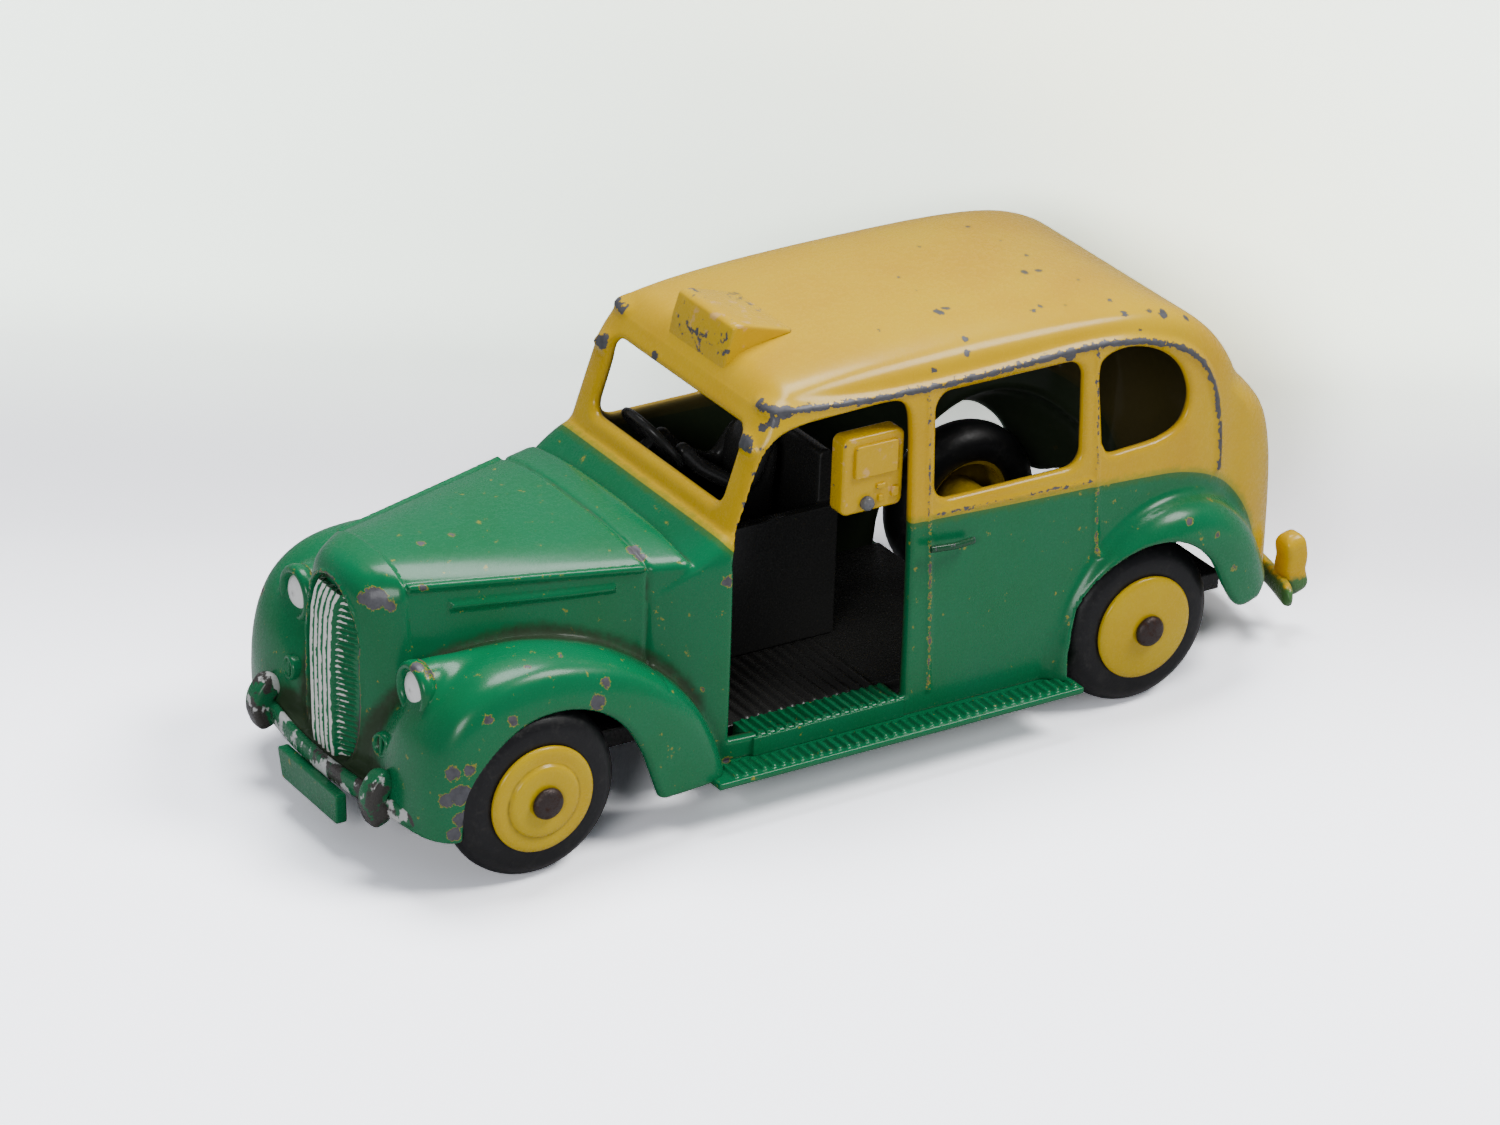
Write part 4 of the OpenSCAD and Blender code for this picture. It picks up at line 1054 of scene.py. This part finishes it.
for end, (x, z), face in (("front", frontAxle, wheelSizes["frontFace"]),
                          ("rear", rearAxle, wheelSizes["rearFace"])):
    for side, s in (("left", 1), ("right", -1)):
        out = face - wheelSizes["faceToTyre"]
        body = "wheel_%s_%s" % (end, side)
        tyre = turnedRing(tyreProfile(out, wheelSizes["tyreWidth"], wheelSizes["tyreRadius"],
                                      wheelSizes["tyreBore"]), (x, 0, z), (0, s, 0), 144)
        addPiece("tyre_%s_%s" % (end, side) + "_rubber", tyre, rubber, body,
                 ["tyre_%s_%s" % (end, side)], 50)
        hub = turnedRing(hubProfile(face, out, end == "front"), (x, 0, z), (0, s, 0), 128)
        addPiece("hub_%s_%s" % (end, side) + "_painted", hub, hubPaint, body,
                 ["hub_%s_%s" % (end, side)], 50)
    head = [[0, face + 0.78], [0.35, face + 0.77], [0.8, face + 0.7], [1.1, face + 0.6], [1.3, face + 0.42],
            [wheelSizes["headRadius"], face + 0.2],
            [1.3, face + 0.06], [wheelSizes["axleRadius"], face + 0.05], [wheelSizes["axleRadius"], 0]]
    half = turned(head, (x, 0, z), (0, 1, 0), 64)
    addPiece(end + "_axle_steel", joined(half, mirrored(half)), steel, end + "_axle_set",
             [end + "_axle"], 50)
print("wheels made")

# front end
grilleSizes = {"ribPitch": 0.74, "ribHeight": 0.22, "finPitch": 0.5, "finHeight": 0.2, "bottom": 6.3,
               "height": 14.9,
               "half": 4.35, "stripEdge": 1.85, "back": 42.6}


def grilleShape():
    # flattened V: front(u) with vertical ribs on the middle strip and level fins on the sloping side panels
    u = np.linspace(-1, 1, 181)
    v = np.linspace(0, 1, 221)
    uu, vv = np.meshgrid(u, v)
    z = grilleSizes["bottom"] + grilleSizes["height"] * vv
    half = grilleSizes["half"] * np.clip(1 - np.abs((z - 13.6) / 8.4) ** 3.2, 0.02, 1) ** 0.5
    half = np.maximum(half, grilleSizes["stripEdge"])
    y = uu * half
    w = np.abs(y)
    x = np.interp(w, [0, 1.75, 2.0, 3.2, 4.35], [45.12, 45.06, 44.72, 44.05, 43.15])
    lean = np.interp(z, [6, 8, 12, 16, 19, 20.4, 21.3], [-0.42, -0.16, 0, 0.1, 0, -0.3, -0.75])
    strip = ramp(w, 1.95, 1.8)
    rib = np.abs(np.cos(np.pi * y / grilleSizes["ribPitch"])) ** 0.8
    fin = 0.5 + 0.5 * np.cos(2 * np.pi * z / grilleSizes["finPitch"])
    edge = ramp(half - w, 0.0, 0.35)
    x = (x + lean + strip * (0.1 + grilleSizes["ribHeight"] * rib)
         + (1 - strip) * (grilleSizes["finHeight"] * fin * edge - 0.1))
    p = np.stack([x, y, z], -1)
    back = p.copy()
    back[..., 0] = grilleSizes["back"]
    rows, cols = p.shape[:2]
    faces = gridFaces(rows, cols, wrapCols=False)
    n = rows * cols
    loop = np.concatenate([np.arange(cols), np.arange(1, rows) * cols + cols - 1,
                           (rows - 1) * cols + np.arange(cols - 2, -1, -1),
                           np.arange(rows - 2, 0, -1) * cols])
    nxt = np.roll(loop, -1)
    wall = np.stack([loop, nxt, nxt + n, loop + n], 1)
    allFaces = np.vstack([faces, faces[:, ::-1] + n, wall[:, ::-1]]).tolist()
    return outward(np.vstack([p.reshape(-1, 3), back.reshape(-1, 3)]), allFaces)


def grilleCrest(p):
    # 1 on the middle strip's ribs and on fin tops, fading outwards on the side panels
    w = np.abs(p[:, 1])
    fin = 0.5 + 0.5 * np.cos(2 * np.pi * p[:, 2] / grilleSizes["finPitch"])
    rib = np.abs(np.cos(np.pi * p[:, 1] / grilleSizes["ribPitch"]))
    return np.where(w < 1.9, 0.08 + 0.68 * rib, 0.62 * fin * ramp(w, 4.0, 1.9)) * (p[:, 0] > 42.9)


addPiece("grille_ribbed", grilleShape(), grillePaint, "chassis", ["radiator_grille"], 180,
                  grilleCrest)

rimProfile = [[1.6, -0.9], [1.62, 0.05], [1.75, 0.32], [1.98, 0.46], [2.22, 0.38], [2.4, 0.12], [2.44, -0.3],
              [2.34, -0.9]]
lensProfile = [[0, 0.44], [0.45, 0.42], [0.9, 0.34], [1.25, 0.2], [1.5, 0.02], [1.61, -0.2], [1.62, -0.7],
               [0, -0.7]]
lampSizes = {"place": (42.25, 9.7, 15.75), "hornPlace": (44.0, 7.65, 10.3), "hornBar": 0.16, "barHalf": 0.7}
lampCentre = np.array(lampSizes["place"])
hornCentre = np.array(lampSizes["hornPlace"])
barEnd = np.array([0, 0, lampSizes["barHalf"]])
rim = turnedRing(rimProfile, lampCentre, (1, 0, 0), 72)
lens = turned(lensProfile, lampCentre + [-0.05, 0, 0], (1, 0, 0), 72)
hornProfile = [[0, -0.3], [0.3, -0.28], [0.62, -0.22], [0.72, 0.1], [0.85, 0.22], [1.0, 0.18], [1.08, -0.05],
               [1.05, -1.6], [0, -1.6]]
horn = turned(hornProfile, hornCentre, (0.97, 0.12, 0.05), 56)
hornBar = carried(ring2(12, 1, 1), *capsulePath([hornCentre - barEnd, hornCentre + barEnd],
                                                lampSizes["hornBar"]), upHint=(1, 0, 0))
for side, turn in (("left", lambda q: q), ("right", mirrored)):
    addPiece("lamp_rim_" + side, turn(rim), greenPaint, "chassis", (), 180)
    addPiece("lamp_lens_" + side, turn(lens), lampPaint, "chassis", ["headlamp_" + side], 180)
    addPiece("horn_%s_cast" % side, turn(joined(horn, hornBar)), greenPaint, "chassis",
             ["horn_" + side], 180)

bumperSizes = {"halfSpan": 13.9, "bow": 95.0, "front": 45.72, "height": 6.1, "rearHalf": 12.2,
               "rearBow": 62.0,
               "rear": -45.75, "rearHeight": 4.4}


# full height along the blade, closing round within the last few hundredths: (1 - |s|^24)^0.5
bladeEnds = np.clip(np.sqrt(np.clip(1 - np.abs(np.linspace(-1, 1, 61)) ** 24, 0, 1)), 0.05, 1)


def bumperPath(half, front, bow, z):
    # a blade's centre line: x = front - y^2 / bow
    y = np.linspace(-half, half, 61)
    return np.stack([front - y ** 2 / bow, y, np.full_like(y, z)], 1)


def bladeShape():
    path = bumperPath(bumperSizes["halfSpan"], bumperSizes["front"], bumperSizes["bow"],
                      bumperSizes["height"])
    return carried(ring2(28, 0.42, 0.85, 3.0), path, bladeEnds)


def overrider(x, y, z0, z1, r, lean):
    path, k = capsulePath([(x - 0.35, y, z0), (x, y, z0 + 0.35 * (z1 - z0)),
                           (x - 0.1, y, z0 + 0.7 * (z1 - z0)),
                           (x - lean, y, z1)], r)
    return carried(ring2(32, 1.0, 1.0, 4.0), path, k, upHint=(1, 0, 0))


guards = [overrider(45.75, s * 9.5, 5.3, 8.2, 1.0, 0.7) for s in (1, -1)]
addPiece("front_bumper_blade", joined(bladeShape(), *guards), silverPaint, "chassis",
         ["front_bumper"], 60)

plateOutline = roundedBox(-5.0, 0.0, 5.0, 2.9, 0.35)
plateOutline[:, 0] *= 0.93 + 0.07 * plateOutline[:, 1:].ravel() / 2.9
addPiece("number_plate_cast", slab(plateOutline, roundedStations(0, 1.0, 0.18), (45.55, 0.4, 2.4), (0, 1, 0),
                                   (0.1, 0, 1), (1, 0, 0)),
         greenPaint, "chassis", ["number_plate"], 60)

rearPath = bumperPath(bumperSizes["rearHalf"], bumperSizes["rear"], -bumperSizes["rearBow"],
                      bumperSizes["rearHeight"])
rearGuards = [overrider(-45.35, s * 9.3, 4.5, 8.2, 1.15, -0.1) for s in (1, -1)]
addPiece("rear_bumper_blade", joined(carried(ring2(28, 0.5, 1.05, 3.0), rearPath, bladeEnds), *rearGuards),
         rearBumperPaint,
         "chassis", ["rear_bumper"], 60)
print("front and rear end made")

# roof sign, meter and handles


def fineOutline(points, steps=6):
    # straight sides between the points, each divided, so that insets keep their shape
    p = np.asarray(points, float)
    t = np.linspace(0, 1, steps, endpoint=False)[:, None]
    return np.vstack([a + (b - a) * t for a, b in zip(p, np.roll(p, -1, axis=0))])


def roundCorners(points, r, steps=6):
    # each corner replaced by a short curve between two points r away along its sides
    p = np.asarray(points, float)
    out = []
    t = np.linspace(0, 1, steps)[:, None]
    for a, b, c in zip(np.roll(p, 1, axis=0), p, np.roll(p, -1, axis=0)):
        u = b + (a - b) / np.linalg.norm(a - b) * r
        v = b + (c - b) / np.linalg.norm(c - b) * r
        out.append((1 - t) ** 2 * u + 2 * t * (1 - t) * b + t ** 2 * v)
    return np.vstack(out)


signOutline = fineOutline(roundCorners([[10.95, 33.4], [10.45, 36.2], [9.85, 38.15], [9.35, 38.36],
                                        [8.7, 38.25], [4.1, 36.9], [4.1, 33.4]], 0.22, 4), 2)
addPiece("roof_sign_cast", slab(signOutline, roundedStations(-4.3, 4.3, 0.3), (0, 0, 0), (1, 0, 0), (0, 0, 1),
                                (0, 1, 0)),
         signPaint, "chassis", ["roof_sign"], 60)

meterBox = slab(fineOutline(roundedBox(-1.7, 23.45, 4.3, 30.35, 0.7), 2), roundedStations(10.85, 12.75, 0.32),
                (0, 0, 0), (1, 0, 0),
                (0, 0, 1), (0, 1, 0))
meterPlate = slab(fineOutline(roundedBox(-0.95, 26.7, 3.2, 29.6, 0.25), 2),
                  roundedStations(12.5, 13.05, 0.14), (0, 0, 0),
                  (1, 0, 0), (0, 0, 1), (0, 1, 0))
meterMarks = [slab(fineOutline(roundedBox(x, z, x + w, z + h, 0.12), 2), roundedStations(12.55, 12.98, 0.1),
                   (0, 0, 0), (1, 0, 0),
                   (0, 0, 1), (0, 1, 0)) for x, z, w, h in ((-1.2, 24.4, 0.7, 0.9), (0.1, 25.4, 0.9, 0.45),
                                                            (0.3, 24.2, 0.5, 0.6))]
addPiece("meter_cast", joined(meterBox, meterPlate, *meterMarks), signPaint, "chassis",
         ["taximeter"], 60)
knob = turned([[0, 0.42], [0.3, 0.4], [0.5, 0.3], [0.6, 0.12], [0.6, -0.3], [0, -0.3]], (1.9, 13.0, 24.35),
              (0, 1, 0), 40)
addPiece("meter_knob", knob, zincBare, "chassis")

handles = [carried(ring2(16, 0.24, 0.3, 2.4),
                   *capsulePath([(x0, s * (y - 0.05), 19.75), ((x0 + x1) / 2, s * (y + 0.1), 19.8),
           (x1, s * (y + 0.02), 19.85)], 1.0, 5, 6)[:1]) for x0, x1, s,
           y in ((-6.5, -4.2, 1, 15.12), (-6.5, -4.2, -1, 15.12), (0.8, 3.0, -1, 15.15))]
addPiece("door_handles_cast", joined(*handles), handlePaint, "chassis", ["door_handles"], 60)

# cab fittings
steerSizes = {"place": (10.4, -6.6, 24.0), "lean": math.radians(52), "radius": 3.1, "rim": 0.38,
              "column": 0.5}
wheelCentre = np.array(steerSizes["place"])
wheelAxis = np.array([-math.sin(steerSizes["lean"]), 0, math.cos(steerSizes["lean"])])
t = np.linspace(0, 2 * np.pi, 72, endpoint=False)
wu = np.array([0, 1.0, 0])
wv = np.cross(wheelAxis, wu)
rimPath = wheelCentre + steerSizes["radius"] * (np.cos(t)[:, None] * wu + np.sin(t)[:, None] * wv)
tube = ring2(14, steerSizes["rim"], steerSizes["rim"])
side = (rimPath - wheelCentre) / steerSizes["radius"]
rimPoints = rimPath[:, None] + tube[None, :, :1] * side[:, None] + tube[None, :, 1:] * wheelAxis
wheelRim = outward(rimPoints.reshape(-1, 3), gridFaces(72, 14, wrapRows=True).tolist())
spokes = [carried(ring2(12),
                  *capsulePath([wheelCentre - wheelAxis * 0.2,
                                wheelCentre + 2.9 * (math.cos(a) * wu + math.sin(a) * wv)],
                                          0.26), upHint=wheelAxis) for a in (0.35, math.pi - 0.35,
                                                  1.5 * math.pi)]
column = carried(ring2(14), *capsulePath([wheelCentre + wheelAxis * 0.25, wheelCentre - wheelAxis * 6.6],
                                         steerSizes["column"]), upHint=(0, 1, 0))
addPiece("steering_wheel_cast", joined(wheelRim, column, *spokes), blackPaint, "chassis",
         ["steering_wheel"], 180)


def torsoShape():
    # superellipse rings from the seat up to the neck: widest at the shoulders, leaning back a little
    z = np.array([12.4, 12.7, 14, 16, 18, 20, 21.6, 22.6, 23.3, 23.8, 24.2])
    a = np.array([1.9, 2.3, 2.4, 2.0, 1.9, 1.95, 1.85, 1.55, 1.1, 0.8, 0.7])
    b = np.array([2.1, 2.5, 2.55, 2.35, 2.45, 2.6, 2.62, 2.3, 1.5, 0.85, 0.75])
    q = ring2(40, 1, 1, 2.4)
    p = np.stack([1.25 - 0.05 * (z[:, None] - 12) + a[:, None] * q[None, :, 0],
                  -6.4 + b[:, None] * q[None, :, 1],
                  np.repeat(z[:, None], 40, 1)], -1)
    return outward(*closeEnds(p, len(z), 40))


head = turned([[0, 2.15], [0.6, 2.08], [1.2, 1.75], [1.65, 1.1], [1.78, 0.3], [1.7, -0.5], [1.4, -1.3],
               [0.9, -1.95], [0.75, -2.5],
               [0, -2.5]], (0.75, -6.4, 26.1), (0, 0, 1), 40)
arms = [carried(ring2(16),
                *capsulePath([(0.9, -6.4 + 2.2 * s, 22.0), (2.9, -6.4 + 2.9 * s * 0.9, 19.4),
                              (6.6, -6.4 + 2.0 * s, 21.2),
                                         (8.6, -6.4 + 1.7 * s, 23.2)], 0.72), upHint=(0, 1, 0.2)) for s in (1,
                                                 -1)]
addPiece("driver_cast", joined(torsoShape(), head, *arms), blackPaint, "chassis", ["driver"],
         180)
for cadNode, name, grain, material, slotName, smooth in (
        ("driver_seat", "driver_seat_cast", 0.2, blackPaint, "black_base", 3),
        ("chassis_floor", "platform_floor_cast", 0.17, blackPaint, "black_base", 1),
        ("running_board_left", "running_board_left_cast", 0.13, greenPaint, "green_enamel", 1),
        ("running_board_right", "running_board_right_cast", 0.13, greenPaint, "green_enamel", 1),
        ("platform_step", "platform_step_cast", 0.1, greenPaint, "green_enamel", 1)):
    softCopy([cadNode], name, grain, material, "chassis", smooth)
print("cab fittings made")

# camera, floor and light
camera = bpy.data.cameras.new("camera")
camera.lens = 148.2
camera.clip_start, camera.clip_end = 0.01, 20
cameraObj = bpy.data.objects.new("camera", camera)
cameraObj.matrix_world = Matrix((
    (-0.84560764, -0.20997211, 0.49077432, 0.257503),
    (0.53266877, -0.39186531, 0.75013703, 0.386572),
    (0.03480958, 0.89574176, 0.44320988, 0.242356),
    (0, 0, 0, 1)))
bpy.context.collection.objects.link(cameraObj)
bpy.context.scene.camera = cameraObj

stageSizes = {"sweepStart": 0.029, "radius": 0.012, "height": 0.1, "halfWidth": 1.6}


def sweepSurface():
    # a flat floor that turns up through a quarter circle into a wall, on the side away from the camera
    r = stageSizes["radius"]
    t = np.linspace(0, np.pi / 2, 24)
    run = np.concatenate([[-1.2], stageSizes["sweepStart"] + r * np.sin(t), [stageSizes["sweepStart"] + r]])
    rise = np.concatenate([[0], r - r * np.cos(t), [stageSizes["height"]]])
    away = np.array([-0.547, -0.837])
    across = np.array([away[1], -away[0]])
    s = np.array([-1, 1]) * stageSizes["halfWidth"]
    p = np.zeros((len(run), 2, 3))
    p[..., :2] = run[:, None, None] * away + s[None, :, None] * across
    p[..., 2] = rise[:, None]
    i = np.arange(len(run) - 1)
    faces = np.stack([2 * i, 2 * i + 1, 2 * i + 3, 2 * i + 2], 1)
    return p.reshape(-1, 3) / mm, faces.tolist()


sweep = addMesh("sweep", *sweepSurface(), floorPaint)


def areaLight(name, place, target, size, watts, colour):
    data = bpy.data.lights.new(name, "AREA")
    data.shape, data.size, data.energy, data.color = "DISK", size, watts, colour
    obj = bpy.data.objects.new(name, data)
    direction = np.asarray(target, float) - np.asarray(place, float)
    z = -direction / np.linalg.norm(direction)
    x = np.cross([0, 0, 1], z)
    x /= np.linalg.norm(x)
    y = np.cross(z, x)
    obj.matrix_world = Matrix([[*(x[i], y[i], z[i], place[i])] for i in range(3)] + [[0, 0, 0, 1]])
    bpy.context.collection.objects.link(obj)
    return obj


areaLight("windowLight", (-0.55, 0.4, 0.9), (0, 0, 0.02), 0.45, 11, (1, 0.99, 0.97))
areaLight("skyLight", (-0.16, -0.22, 0.85), (0, 0, 0), 0.5, 10, (0.97, 0.98, 1))
areaLight("frontLight", (0.85, 0.75, 0.5), (0, 0, 0.02), 0.4, 6, (1, 1, 1))
world = bpy.data.worlds.new("room")
bpy.context.scene.world = world
world.use_nodes = True
world.node_tree.nodes["Background"].inputs["Color"].default_value = (0.85, 0.9, 1, 1)
world.node_tree.nodes["Background"].inputs["Strength"].default_value = 0.26
